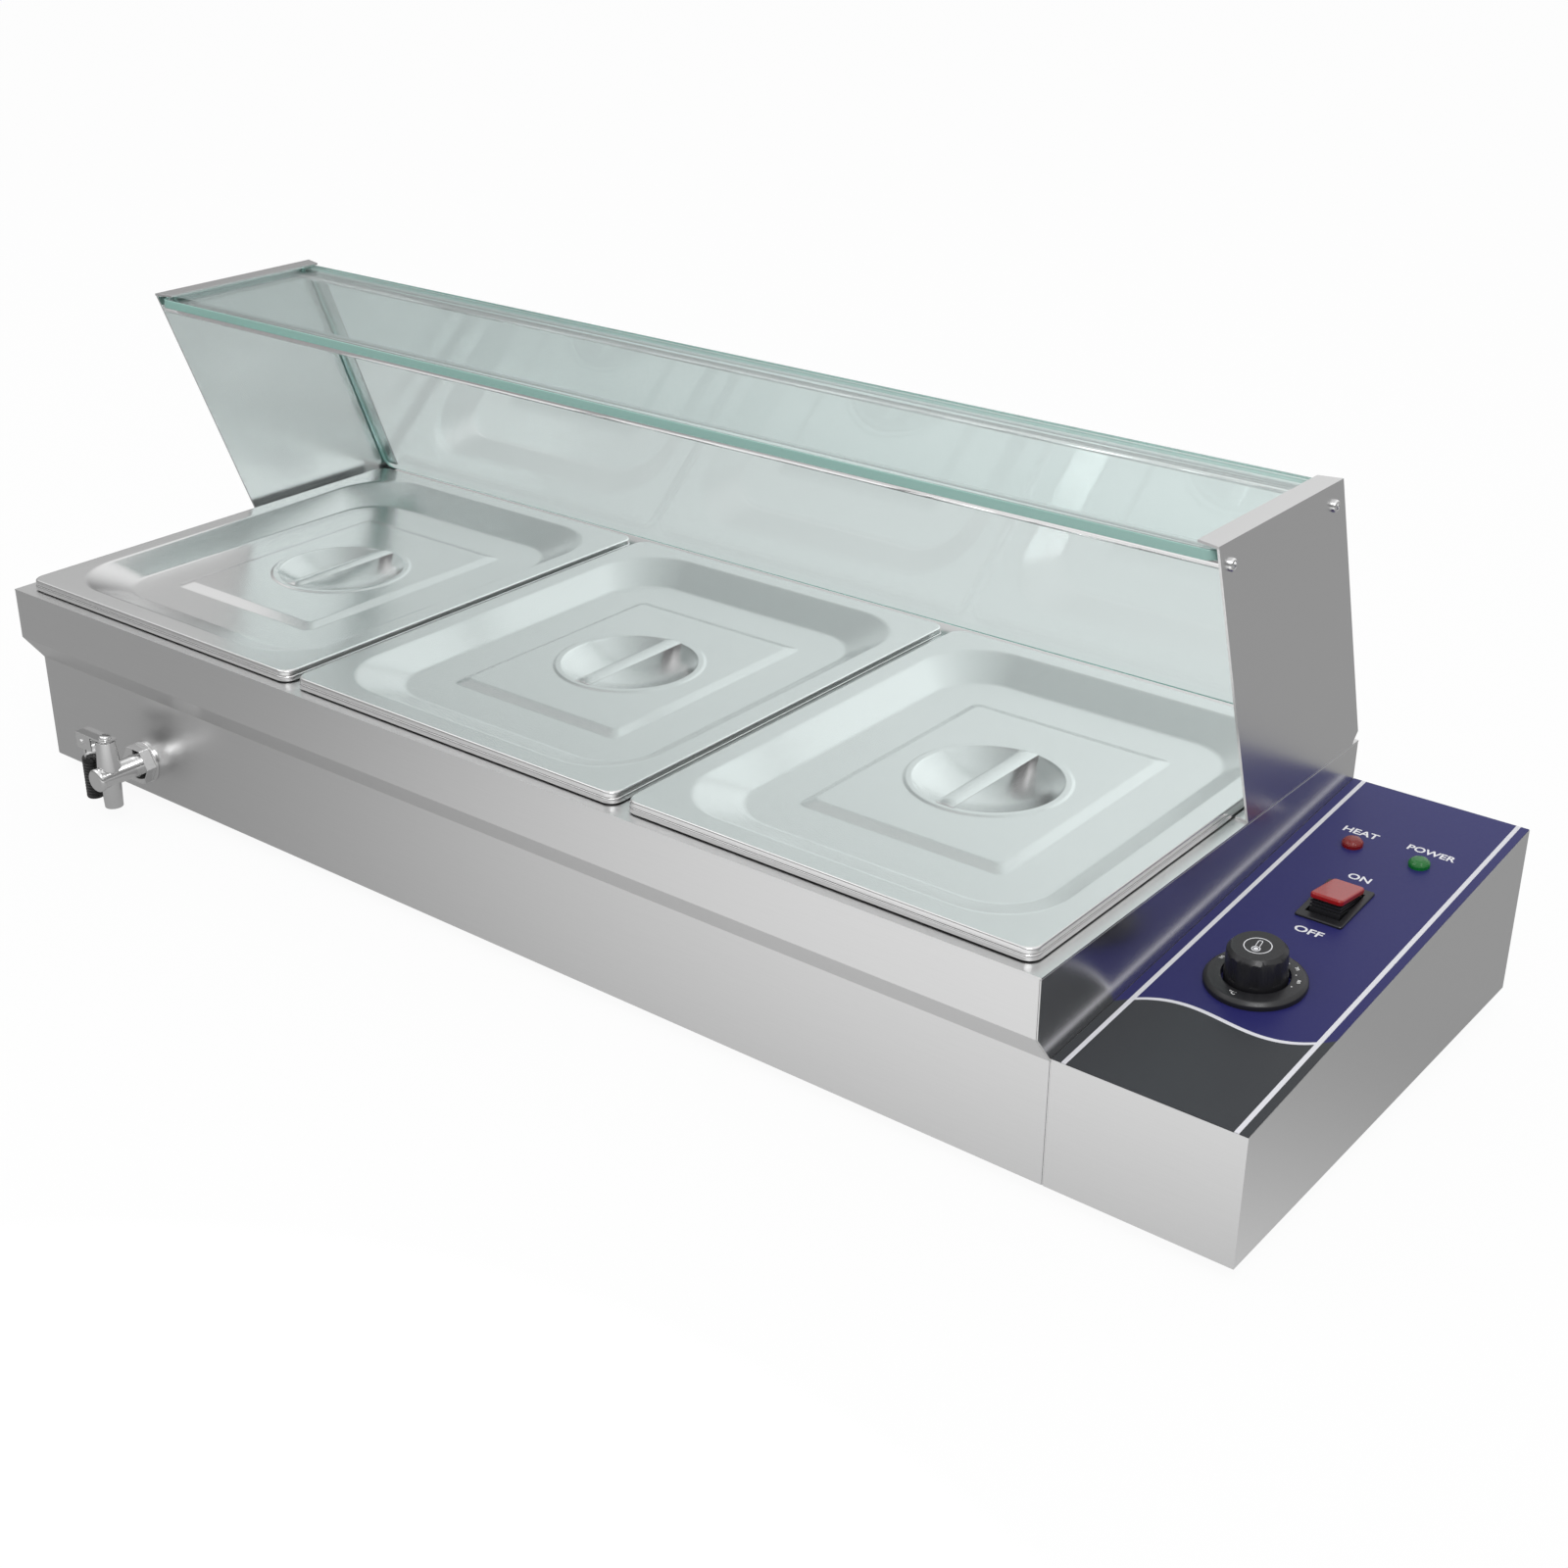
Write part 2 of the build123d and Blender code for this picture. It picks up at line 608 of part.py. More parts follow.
# ---- terminal block, earth stud and cable gland -------------------------------------
block_y = rear_y - 60
terminal_block = block(well_x + 22, well_x + 82, block_y - 11, block_y + 11, plate_hi, plate_hi + 16)
for i in range(5):
    x = well_x + 30 + 11 * i
    for side in (-1, 1):
        terminal_block -= along_z(2.6, plate_hi + 9, plate_hi + 17, x, block_y + side * 6)
earth_x = well_x + 20
earth_y = rear_y - 110
earth_nut = Pos(earth_x, earth_y, plate_hi) * hex_prism(8, 4)
earth_nut -= along_z(2.5, plate_hi - 1, plate_hi + 6, earth_x, earth_y)
earth_bolt = along_z(2.5, plate_lo, plate_hi + 12, earth_x, earth_y)
earth_bolt += Pos(earth_x, earth_y, plate_lo - 3.5) * hex_prism(8, 3.5)
earth_stud = Compound(children=[earth_bolt, earth_nut])
box_base -= along_z(2.5 + hole_gap, plate_lo - 1, plate_hi + 1, earth_x, earth_y)

cord_x = well_x + 55
cord_z = low_z + 35
cord_r = 4.0
thread_r = 8.0
cable_gland = along_y(thread_r, rear_y - sheet - 9, rear_y, cord_x, cord_z)
cable_gland += Pos(cord_x, rear_y, cord_z) * Rot(-90, 0, 0) * hex_prism(22, gland_hex)
dome = Cone(10.5, 7.5, gland_dome, align=(Align.CENTER, Align.CENTER, Align.MIN))
cable_gland += Pos(cord_x, rear_y + gland_hex, cord_z) * Rot(-90, 0, 0) * dome
cable_gland -= along_y(cord_r, rear_y - 20, rear_y + 20, cord_x, cord_z)
gland_nut = Pos(cord_x, rear_y - sheet - 5, cord_z) * Rot(-90, 0, 0) * hex_prism(22, 5)
gland_nut -= along_y(thread_r, rear_y - 12, rear_y + 1, cord_x, cord_z)
control_box -= along_y(thread_r + hole_gap, rear_y - 3, rear_y + 1, cord_x, cord_z)

# ---- pans --------------------------------------------------------------------------------------------------
pan_bottom_z = deck_z - pan_drop


def make_pan(x):
    """Deep pan with a flat rim and a turned-down lip that rests on the deck."""
    body_face = Pos(x, pan_mid_y, rim_z) * RectangleRounded(
        mouth_w + 2 * pan_t, mouth_l + 2 * pan_t, mouth_r + pan_t)
    hollow_face = Pos(x, pan_mid_y, rim_z) * RectangleRounded(mouth_w, mouth_l, mouth_r)
    body = extrude(body_face, amount=rim_z - pan_bottom_z, dir=(0, 0, -1), taper=pan_taper)
    body = fillet(body.faces().sort_by(Axis.Z)[0].edges(), 12.0)
    hollow = extrude(
        hollow_face, amount=rim_z - pan_bottom_z - pan_t, dir=(0, 0, -1), taper=pan_taper)
    hollow = fillet(hollow.faces().sort_by(Axis.Z)[0].edges(), 11.0)
    rim = round_slab(pan_w, pan_l, rim_h, rim_r, deck_z, x, pan_mid_y)
    rim -= round_slab(
        pan_w - 2.4, pan_l - 2.4, rim_h - pan_t, rim_r - 1.2, deck_z, x, pan_mid_y)
    return rim + body - hollow


def make_lid(x):
    """Pressed lid: flat flange, sunken floor, raised plate, ring bead and round dish."""
    wide = pan_w - 2 * lid_inset
    long = pan_l - 2 * lid_inset
    base_z = lid_z - 60
    floor_z = lid_z - lid_depth
    plate_z = floor_z + plate_h
    surface = round_slab(wide, long, lid_z - base_z, rim_r - lid_inset, base_z, x, pan_mid_y)
    surface -= frustum(
        (pan_w - 2 * lid_floor_x, pan_l - 2 * lid_floor_y, lid_floor_r), floor_z,
        (pan_w - 2 * lid_mouth, pan_l - 2 * lid_mouth, lid_mouth_r), lid_z, x, pan_mid_y)
    surface += frustum(
        (*plate_base, 6.0), floor_z - 1,
        (*plate_top, 3.0), plate_z, x, pan_mid_y)
    bead_profile = [
        (bead_r_in, plate_z - 1),
        (bead_r_in, plate_z + bead_h * 0.4),
        (bead_r_in + bead_flank, plate_z + bead_h),
        (bead_r_out - bead_flank, plate_z + bead_h),
        (bead_r_out, plate_z),
        (bead_r_out, plate_z - 1),
    ]
    bead = revolve(Plane.XZ * make_face(Polyline(*bead_profile, close=True)), Axis.Z)
    ball_r = (bead_r_in**2 + dish_depth**2) / (2 * dish_depth)
    ball = Pos(0, 0, plate_z - dish_depth + ball_r) * Sphere(ball_r)
    drum = Pos(0, 0, plate_z - dish_depth - 1) * Cylinder(
        bead_r_in, dish_depth + 1, align=(Align.CENTER, Align.CENTER, Align.MIN))
    surface += Pos(x, pan_mid_y, 0) * bead
    surface -= Pos(x, pan_mid_y, 0) * (ball & drum)
    under = Pos(0, 0, -lid_t) * surface
    margin = round_slab(wide + 4, long + 4, 70, rim_r, base_z - 5, x, pan_mid_y)
    margin -= round_slab(wide - 4, long - 4, 80, rim_r - 2.5, base_z - 9, x, pan_mid_y)
    margin = margin & block(x - wide, x + wide, -pan_l * 2, pan_l * 2, base_z - 4, lid_z - lid_t)
    lid = surface - under - margin
    skirt = round_slab(wide, long, lid_rise, rim_r - lid_inset, rim_z, x, pan_mid_y)
    skirt -= round_slab(
        wide - 2 * lid_t, long - 2 * lid_t, lid_rise - lid_t, rim_r - lid_inset - lid_t,
        rim_z, x, pan_mid_y)
    skirt -= round_slab(wide - 8, long - 8, 2 * lid_rise, rim_r - 5, rim_z - 1, x, pan_mid_y)
    return lid + skirt


def make_lid_grip(x):
    """Crowned bar that spans the dish from front to rear."""
    seat_z = lid_z - lid_depth + plate_h + bead_h
    half = grip_w / 2
    section = make_face(Polyline(
        (-half, 0), (half, 0), (half, grip_t * 0.6), (2, grip_t + grip_crown),
        (-2, grip_t + grip_crown), (-half, grip_t * 0.6), close=True))
    bar = Plane(origin=(x, pan_mid_y - grip_l / 2, seat_z), x_dir=(-1, 0, 0), z_dir=(0, 1, 0)) * section
    return extrude(bar, amount=grip_l, dir=(0, 1, 0))


pans = [make_pan(x) for x in pan_x]
lids = [make_lid(x) for x in pan_x]
lid_grips = [make_lid_grip(x) for x in pan_x]

# ---- glass shield -------------------------------------------------------------------
lean = shield_lean / shield_h
lean_len = hypot(1, lean)
shield_top = deck_z + shield_h
foot_front = rear_y - shield_l


def rear_line(z):
    """Y of the leaning rear edge at height z."""
    return rear_y - lean * (z - deck_z)


def front_line(z):
    """Y of the leaning front edge at height z."""
    return foot_front - lean * (z - deck_z)


def leaning_slab(x0, x1, near, far, z0, z1):
    """Slab parallel to the rear edge, between two distances in front of it."""
    return side_plate(
        [
            (rear_line(z0) - far * lean_len, z0),
            (rear_line(z0) - near * lean_len, z0),
            (rear_line(z1) - near * lean_len, z1),
            (rear_line(z1) - far * lean_len, z1),
        ],
        x0,
        x1,
    )


stud_in = 5.5
stud_y = (foot_front + 22, rear_y - 34)
rod_y = (front_line(rod_z) + front_rod_in, rear_line(rod_z) - rear_rod_in)
glass_z = rod_z + rod_r


def make_side_panel(outer, inward):
    """Leaning side panel with top, rear and bottom lips and two welded studs."""
    x0, x1 = sorted((outer, outer + inward * shield_t))
    lip0, lip1 = sorted((outer, outer + inward * shield_lip))
    sole0, sole1 = sorted((outer, outer + inward * shield_sole))
    cut_z = deck_z + shield_cut
    outline = [
        (foot_front, deck_z),
        (rear_y - shield_cut * (1 + lean), deck_z),
        (rear_line(cut_z), cut_z),
        (rear_line(shield_top), shield_top),
        (front_line(shield_top), shield_top),
    ]
    part = side_plate(outline, x0, x1)
    y0 = front_line(shield_top)
    y1 = rear_line(shield_top)
    top = make_face(Polyline(
        (outer, y0), (outer + inward * shield_lip, y0 + shield_mitre),
        (outer + inward * shield_lip, y1 - shield_mitre), (outer, y1), close=True))
    part += Pos(0, 0, shield_top - shield_t) * extrude(top, amount=shield_t, dir=(0, 0, 1))
    part += leaning_slab(lip0, lip1, 0, shield_t, cut_z + 2, glass_z - 1)
    part += block(sole0, sole1, foot_front, rear_y - 2 * shield_cut, deck_z, deck_z + shield_t)
    for y in stud_y:
        part += along_z(stud_r, deck_z - stud_l, deck_z + shield_t, outer + inward * stud_in, y)
    for y in rod_y:
        part -= along_x(screw_r + hole_gap, x0 - 1, x1 + 1, y, rod_z)
    return part


side_panel_left = make_side_panel(left_x, 1)
side_panel_right = make_side_panel(well_x, -1)

nut_list = []
for x in (left_x + stud_in, well_x - stud_in):
    for y in stud_y:
        deck -= along_z(stud_r + hole_gap, deck_z - 2 * sheet, deck_z + 1, x, y)
        nut = Pos(x, y, deck_z - sheet - 3.2) * hex_prism(7, 3.2)
        nut_list.append(nut - along_z(stud_r, deck_z - 8, deck_z, x, y))
shield_nuts = Compound(children=nut_list)

glass_x0 = left_x + shield_t + glass_side_gap
glass_x1 = well_x - shield_t - glass_side_gap
rod_x0 = left_x + shield_t
rod_x1 = well_x - shield_t
glass_w = glass_x1 - glass_x0
top_y0 = front_line(glass_z + glass_t)
top_y1 = rear_line(glass_z + glass_t) - 0.3
top_glass = round_slab(
    glass_w, top_y1 - top_y0, glass_t, glass_corner, glass_z,
    (glass_x0 + glass_x1) / 2, (top_y0 + top_y1) / 2)

glass_near = shield_t
rear_foot_z = deck_z + shield_t + pad_t
rear_top_z = glass_z - 1.0
rear_glass = leaning_slab(glass_x0, glass_x1, glass_near, glass_near + glass_t, rear_foot_z, rear_top_z)
rear_corners = [
    e for e in rear_glass.edges().filter_by(GeomType.LINE)
    if abs(e.tangent_at(0).X) < 0.01 and abs(e.tangent_at(0).Z) < 0.01
    and e.center().Z < deck_z + 30
]
rear_glass = fillet(rear_corners, glass_corner)

rod_list = []
rod_screw_list = []
thread_l = 12.0
for y in rod_y:
    bar = along_x(rod_r, rod_x0, rod_x1, y, rod_z)
    bar -= along_x(screw_r, rod_x0 - 1, rod_x0 + thread_l + 1, y, rod_z)
    bar -= along_x(screw_r, rod_x1 - thread_l - 1, rod_x1 + 1, y, rod_z)
    rod_list.append(bar)
    for outer, inward in ((left_x, 1), (well_x, -1)):
        head = Pos(outer, y, rod_z) * Rot(0, -90 * inward, 0) * Cylinder(
            screw_head_r, screw_head_h, align=(Align.CENTER, Align.CENTER, Align.MIN))
        rim = head.edges().filter_by(GeomType.CIRCLE).sort_by(Axis.X)
        head = fillet(rim[0] if inward > 0 else rim[-1], 1.2)
        socket = Pos(outer - inward * screw_head_h, y, rod_z) * Rot(0, 90 * inward, 0) * hex_prism(2.5, 1.4)
        ends = sorted((outer, outer + inward * (shield_t + thread_l)))
        rod_screw_list.append(head + along_x(screw_r, *ends, y, rod_z) - socket)
glass_rods = Compound(children=rod_list)
rod_screws = Compound(children=rod_screw_list)

pad_y = rear_line(rear_foot_z) - (glass_near + glass_t / 2) * lean_len
pad_list = []
for x0 in (left_x + shield_t, well_x - shield_sole):
    pad_list.append(block(
        x0 + 0.5, x0 + shield_sole - shield_t - 0.5, pad_y - 4.5, pad_y + 3.5,
        deck_z + shield_t, rear_foot_z))
glass_pads = Compound(children=pad_list)

# ---- drain tap ----------------------------------------------------------------------
plug_y = front_y - tap_axis
bonnet_z = tap_z + bonnet_top
washer_t = 1.6
nut_t = 8.0
back_nut_t = 6.0
shank_in = tank_y0 + sheet + back_nut_t + 2

casing_front -= along_y(shank_r + hole_gap, front_y - 2, front_y + 3, tap_x, tap_z)
water_tank -= along_y(shank_r + hole_gap, tank_y0 - 1, tank_y0 + 3, tap_x, tap_z)

barrel_y0 = front_y - barrel_end
tap_body = along_y(barrel_r, barrel_y0, front_y - washer_t - nut_t, tap_x, tap_z)
tap_body += along_y(shank_r, front_y - washer_t - nut_t, shank_in, tap_x, tap_z)
tap_body += along_y(barrel_r - 2.5, barrel_y0 - 2.5, barrel_y0, tap_x, tap_z)
bonnet = Cone(*bonnet_r, bonnet_top - bonnet_foot, align=(Align.CENTER, Align.CENTER, Align.MIN))
tap_body += Pos(tap_x, plug_y, tap_z + bonnet_foot) * bonnet
tap_body += along_z(neck_r, tap_z, tap_z + bonnet_foot, tap_x, plug_y)
spout = Cone(spout_r[1], spout_r[0], spout_l, align=(Align.CENTER, Align.CENTER, Align.MIN))
tap_body += Pos(tap_x, plug_y, tap_z - spout_l) * spout
plug_foot = tap_z - 8
tap_body -= along_z(plug_r + fit_gap, plug_foot, bonnet_z + 1, tap_x, plug_y)
tap_body -= along_z(spout_bore, tap_z - spout_l - 1, plug_foot + 1, tap_x, plug_y)
tap_body -= along_y(4.0, plug_y, shank_in + 1, tap_x, tap_z)

tap_nut = Pos(tap_x, front_y - washer_t - nut_t, tap_z) * Rot(-90, 0, 0) * hex_prism(25, nut_t)
tap_nut -= along_y(shank_r, front_y - 20, front_y + 1, tap_x, tap_z)
tap_washer = along_y(15.0, front_y - washer_t, front_y, tap_x, tap_z)
tap_washer -= along_y(shank_r + hole_gap, front_y - 3, front_y + 1, tap_x, tap_z)
back_nut_y = tank_y0 + sheet
tap_back_nut = Pos(tap_x, back_nut_y, tap_z) * Rot(-90, 0, 0) * hex_prism(21, back_nut_t)
tap_back_nut -= along_y(shank_r, back_nut_y - 1, back_nut_y + 9, tap_x, tap_z)

tap_end_cap = along_y(end_cap_r, barrel_y0 - end_cap_l, barrel_y0, tap_x, tap_z)
tap_end_cap = fillet(tap_end_cap.edges().filter_by(GeomType.CIRCLE).sort_by(Axis.Y)[0], 2.4)
tap_end_cap -= along_y(barrel_r - 2.5, barrel_y0 - 2.5, barrel_y0 + 1, tap_x, tap_z)

lever_z0 = bonnet_z + 0.4
lever_z1 = lever_z0 + lever_t
tap_plug = along_z(plug_r, plug_foot + 0.2, bonnet_z + 0.2, tap_x, plug_y)
square = 6.4
tap_plug += Pos(tap_x, plug_y, bonnet_z) * Box(
    square, square, lever_z1 - bonnet_z - 0.1, align=(Align.CENTER, Align.CENTER, Align.MIN))
tap_plug -= along_z(3.5, plug_foot - 1, tap_z + 3, tap_x, plug_y)
tap_plug -= along_x(3.2, tap_x - 10, tap_x, plug_y, tap_z)
tap_plug -= along_z(1.6, bonnet_z - 10, lever_z1 + 1, tap_x, plug_y)

lever_end = tap_x - lever_reach
tap_lever = block(lever_end, tap_x + 5.6, plug_y - lever_w / 2, plug_y + lever_w / 2, lever_z0, lever_z1)
for side in (-1, 1):
    y0, y1 = sorted((plug_y + side * lever_w / 2, plug_y + side * (lever_w / 2 - lever_t)))
    tap_lever += block(lever_end, tap_x - 10.5, y0, y1, lever_z1 - lever_h, lever_z1)
arm_x = tap_x - grip_arm
sleeve_z = tap_z + sleeve_top
tang_half = lever_w / 2 - lever_t
tap_lever += block(
    arm_x - 2.5, arm_x + 2.5, plug_y - tang_half, plug_y + tang_half, lever_z1 - lever_h + 1, lever_z0)
tap_lever += block(
    arm_x - 1, arm_x + 1, plug_y - tang_half, plug_y + tang_half, sleeve_z - 22, lever_z0)
tap_lever += along_y(1.9, plug_y - lever_w / 2 - 0.9, plug_y + lever_w / 2 + 0.9, arm_x, lever_z1 - 6.5)
tap_lever -= Pos(tap_x, plug_y, lever_z0) * Box(square + 0.1, square + 0.1, 6)
tap_grip = along_z(sleeve_r, sleeve_z - sleeve_l, sleeve_z, arm_x, plug_y)
tap_grip = fillet(tap_grip.edges().filter_by(GeomType.CIRCLE), 1.2)
tap_grip -= block(
    arm_x - 1.05, arm_x + 1.05, plug_y - tang_half - 0.05, plug_y + tang_half + 0.05,
    sleeve_z - 22.05, sleeve_z + 1)
tap_screw = along_z(4.2, lever_z1, lever_z1 + 2.6, tap_x, plug_y)
tap_screw = fillet(tap_screw.edges().filter_by(GeomType.CIRCLE).sort_by(Axis.Z)[-1], 1.8)
tap_screw -= Pos(tap_x, plug_y, lever_z1 + 2.6) * Rot(0, 0, 30) * Box(10, 1.0, 2.4)
tap_screw += along_z(1.6, bonnet_z - 8, lever_z1, tap_x, plug_y)

# ---- export -------------------------------------------------------------------------
nodes = {
    "casing_front": casing_front,
    "casing_rear": casing_rear,
    "end_plate_left": end_plate_left,
    "end_plate_right": end_plate_right,
    "deck": deck,
    "water_tank": water_tank,
    "base_plate": base_plate,
    "feet": feet,
    "base_screws": base_screws,
    "control_box": control_box,
    "control_box_base": box_base,
    "panel_overlay": panel_overlay,
    "switch_body": switch_body,
    "switch_rocker": switch_rocker,
    "switch_cap": switch_cap,
    "heat_lamp_lens": heat_lens,
    "heat_lamp_body": heat_lamp,
    "power_lamp_lens": power_lens,
    "power_lamp_body": power_lamp,
    "scale_ring": scale_ring,
    "knob": knob,
    "thermostat_shaft": thermostat_shaft,
    "thermostat_body": thermostat_body,
    "capillary": capillary,
    "capillary_gland": capillary_gland,
    "heating_element": heating_element,
    "element_glands": element_glands,
    "element_clips": element_clips,
    "dry_boil_cutout": dry_boil_cutout,
    "terminal_block": terminal_block,
    "earth_stud": earth_stud,
    "cable_gland": cable_gland,
    "cable_gland_nut": gland_nut,
    "side_panel_left": side_panel_left,
    "side_panel_right": side_panel_right,
    "shield_nuts": shield_nuts,
    "top_glass": top_glass,
    "rear_glass": rear_glass,
    "glass_rods": glass_rods,
    "rod_screws": rod_screws,
    "glass_pads": glass_pads,
    "tap_body": tap_body,
    "tap_nut": tap_nut,
    "tap_washer": tap_washer,
    "tap_back_nut": tap_back_nut,
    "tap_end_cap": tap_end_cap,
    "tap_plug": tap_plug,
    "tap_lever": tap_lever,
    "tap_grip": tap_grip,
    "tap_screw": tap_screw,
}
for i in range(pan_count):
    nodes[f"pan_{i + 1}"] = pans[i]
    nodes[f"lid_{i + 1}"] = lids[i]
    nodes[f"lid_grip_{i + 1}"] = lid_grips[i]

os.makedirs("parts", exist_ok=True)
for name, part in nodes.items():
    export_step(part, f"parts/{name}.step")
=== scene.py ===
"""Looks of a countertop electric buffet server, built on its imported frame.

Sizes in the classes are millimetres and every mesh is made in metres in the row frame.
+X runs along the front towards the control box, +Y to the rear and +Z up.
"""

import json
import logging
import math
from dataclasses import dataclass
from enum import Enum

import bmesh
import bpy
from mathutils import Matrix, Vector


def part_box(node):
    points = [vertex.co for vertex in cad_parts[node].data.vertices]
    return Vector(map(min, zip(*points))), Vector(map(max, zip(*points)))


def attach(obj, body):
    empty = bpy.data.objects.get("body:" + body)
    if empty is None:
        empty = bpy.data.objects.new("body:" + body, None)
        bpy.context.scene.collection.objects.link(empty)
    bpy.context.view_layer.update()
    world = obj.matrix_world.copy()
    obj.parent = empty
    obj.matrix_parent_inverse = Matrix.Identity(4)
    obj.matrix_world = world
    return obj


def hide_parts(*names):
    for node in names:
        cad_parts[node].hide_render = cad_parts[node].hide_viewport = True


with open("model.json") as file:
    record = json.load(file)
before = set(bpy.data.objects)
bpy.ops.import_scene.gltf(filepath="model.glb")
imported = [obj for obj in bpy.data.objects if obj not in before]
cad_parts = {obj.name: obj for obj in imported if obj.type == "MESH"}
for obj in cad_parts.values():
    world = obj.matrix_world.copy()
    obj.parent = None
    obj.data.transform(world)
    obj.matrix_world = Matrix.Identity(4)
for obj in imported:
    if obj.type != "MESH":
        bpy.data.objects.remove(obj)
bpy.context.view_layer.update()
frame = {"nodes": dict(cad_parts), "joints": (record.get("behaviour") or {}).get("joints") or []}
MM = 0.001
log = logging.getLogger("buffet_server")

Colour = tuple[float, float, float]
Socket = bpy.types.NodeSocket


class Grain(Enum):
    """Direction of the brushing on a sheet, as stretches of the noise along X, Y and Z."""

    ALONG_X = (0.02, 1.0, 1.0)
    ALONG_Y = (1.0, 0.02, 1.0)
    ALL_ROUND = (1.0, 1.0, 1.0)


class Body(Enum):
    """Bodies that the pieces ride on."""

    BASE = "base"
    KNOB = "thermostat_knob"
    ROCKER = "power_rocker"
    LEVER = "drain_lever"


# ---- node trees ---------------------------------------------------------------------


class Graph:
    """Builder for a node tree."""

    def __init__(self, tree: bpy.types.NodeTree) -> None:
        """Takes the tree to build in."""
        self.tree = tree

    def add(self, kind: str, **settings: object) -> bpy.types.Node:
        """Adds a node.

        Args:
            kind: Node type without its ShaderNode prefix.
            settings: Properties set on the node.

        Returns:
            The new node.
        """
        node = self.tree.nodes.new("ShaderNode" + kind)
        for key, value in settings.items():
            setattr(node, key, value)
        return node

    def link(self, source: Socket, target: Socket) -> None:
        """Joins an output to an input."""
        self.tree.links.new(source, target)

    def maths(self, operation: str, *values: object) -> Socket:
        """Works out one sum.

        Args:
            operation: Name of the operation.
            values: Its terms, each a socket or a number.

        Returns:
            The result's socket.
        """
        node = self.add("Math", operation=operation)
        for place, value in enumerate(values):
            if isinstance(value, bpy.types.NodeSocket):
                self.link(value, node.inputs[place])
            else:
                node.inputs[place].default_value = value
        return node.outputs[0]

    def place(self, stretch: Colour = (1, 1, 1), turn: Colour = (0, 0, 0)) -> Socket:
        """Gives object coordinates, turned and then stretched.

        Args:
            stretch: Factors along X, Y and Z.
            turn: Rotation in radians.

        Returns:
            The vector's socket.
        """
        where = self.add("TexCoord").outputs["Object"]
        mapping = self.add("Mapping")
        self.link(where, mapping.inputs["Vector"])
        mapping.inputs["Scale"].default_value = stretch
        mapping.inputs["Rotation"].default_value = turn
        return mapping.outputs[0]

    def noise(self, where: Socket, scale: float, detail: float = 3.0) -> Socket:
        """Gives a noise value.

        Args:
            where: Coordinates.
            scale: Cells per metre.
            detail: Octaves.

        Returns:
            The value's socket.
        """
        node = self.add("TexNoise")
        self.link(where, node.inputs["Vector"])
        node.inputs["Scale"].default_value = scale
        node.inputs["Detail"].default_value = detail
        return node.outputs["Fac"]

    def spread(self, value: Socket, low: float, high: float, start: float = 0.3,
               end: float = 0.7) -> Socket:
        """Maps a value on to a range.

        Args:
            value: Value to map.
            low: Result at the start.
            high: Result at the end.
            start: Value that gives low.
            end: Value that gives high.

        Returns:
            The result's socket.
        """
        node = self.add("MapRange")
        self.link(value, node.inputs["Value"])
        for name, number in (("From Min", start), ("From Max", end), ("To Min", low),
                             ("To Max", high)):
            node.inputs[name].default_value = number
        return node.outputs[0]

    def blend(self, factor: Socket, low: object, high: object) -> Socket:
        """Mixes two colours.

        Args:
            factor: Share of the second colour.
            low: Colour or socket at 0.
            high: Colour or socket at 1.

        Returns:
            The colour's socket.
        """
        node = self.add("Mix", data_type="RGBA")
        self.link(factor, node.inputs[0])
        for place, value in ((6, low), (7, high)):
            if isinstance(value, bpy.types.NodeSocket):
                self.link(value, node.inputs[place])
            else:
                node.inputs[place].default_value = (*value, 1)
        return node.outputs[2]


class Paint(Graph):
    """Builder for the node tree of one material."""

    def __init__(self, name: str) -> None:
        """Makes the material with its shader and output.

        Args:
            name: Name of the material.
        """
        self.material = bpy.data.materials.new(name)
        self.material.use_nodes = True
        super().__init__(self.material.node_tree)
        self.shader = self.tree.nodes["Principled BSDF"]
        self.output = self.tree.nodes["Material Output"]

    def fix(self, **values: object) -> None:
        """Sets constant values on the shader's own sockets.

        Args:
            values: Socket names with underscores for spaces, and their values.
        """
        for key, value in values.items():
            self.shader.inputs[key.replace("_", " ")].default_value = value

    def bump(self, height: Socket, strength: float, distance: float) -> None:
        """Joins a bump to the shader's normal.

        Args:
            height: Height value.
            strength: Share of the bump.
            distance: Depth in metres.
        """
        node = self.add("Bump")
        self.link(height, node.inputs["Height"])
        node.inputs["Strength"].default_value = strength
        node.inputs["Distance"].default_value = distance
        self.link(node.outputs[0], self.shader.inputs["Normal"])


def scaled(colour: Colour, factor: float) -> Colour:
    """Makes a colour lighter or darker."""
    return tuple(min(1.0, c * factor) for c in colour)


# ---- finishes -----------------------------------------------------------------------


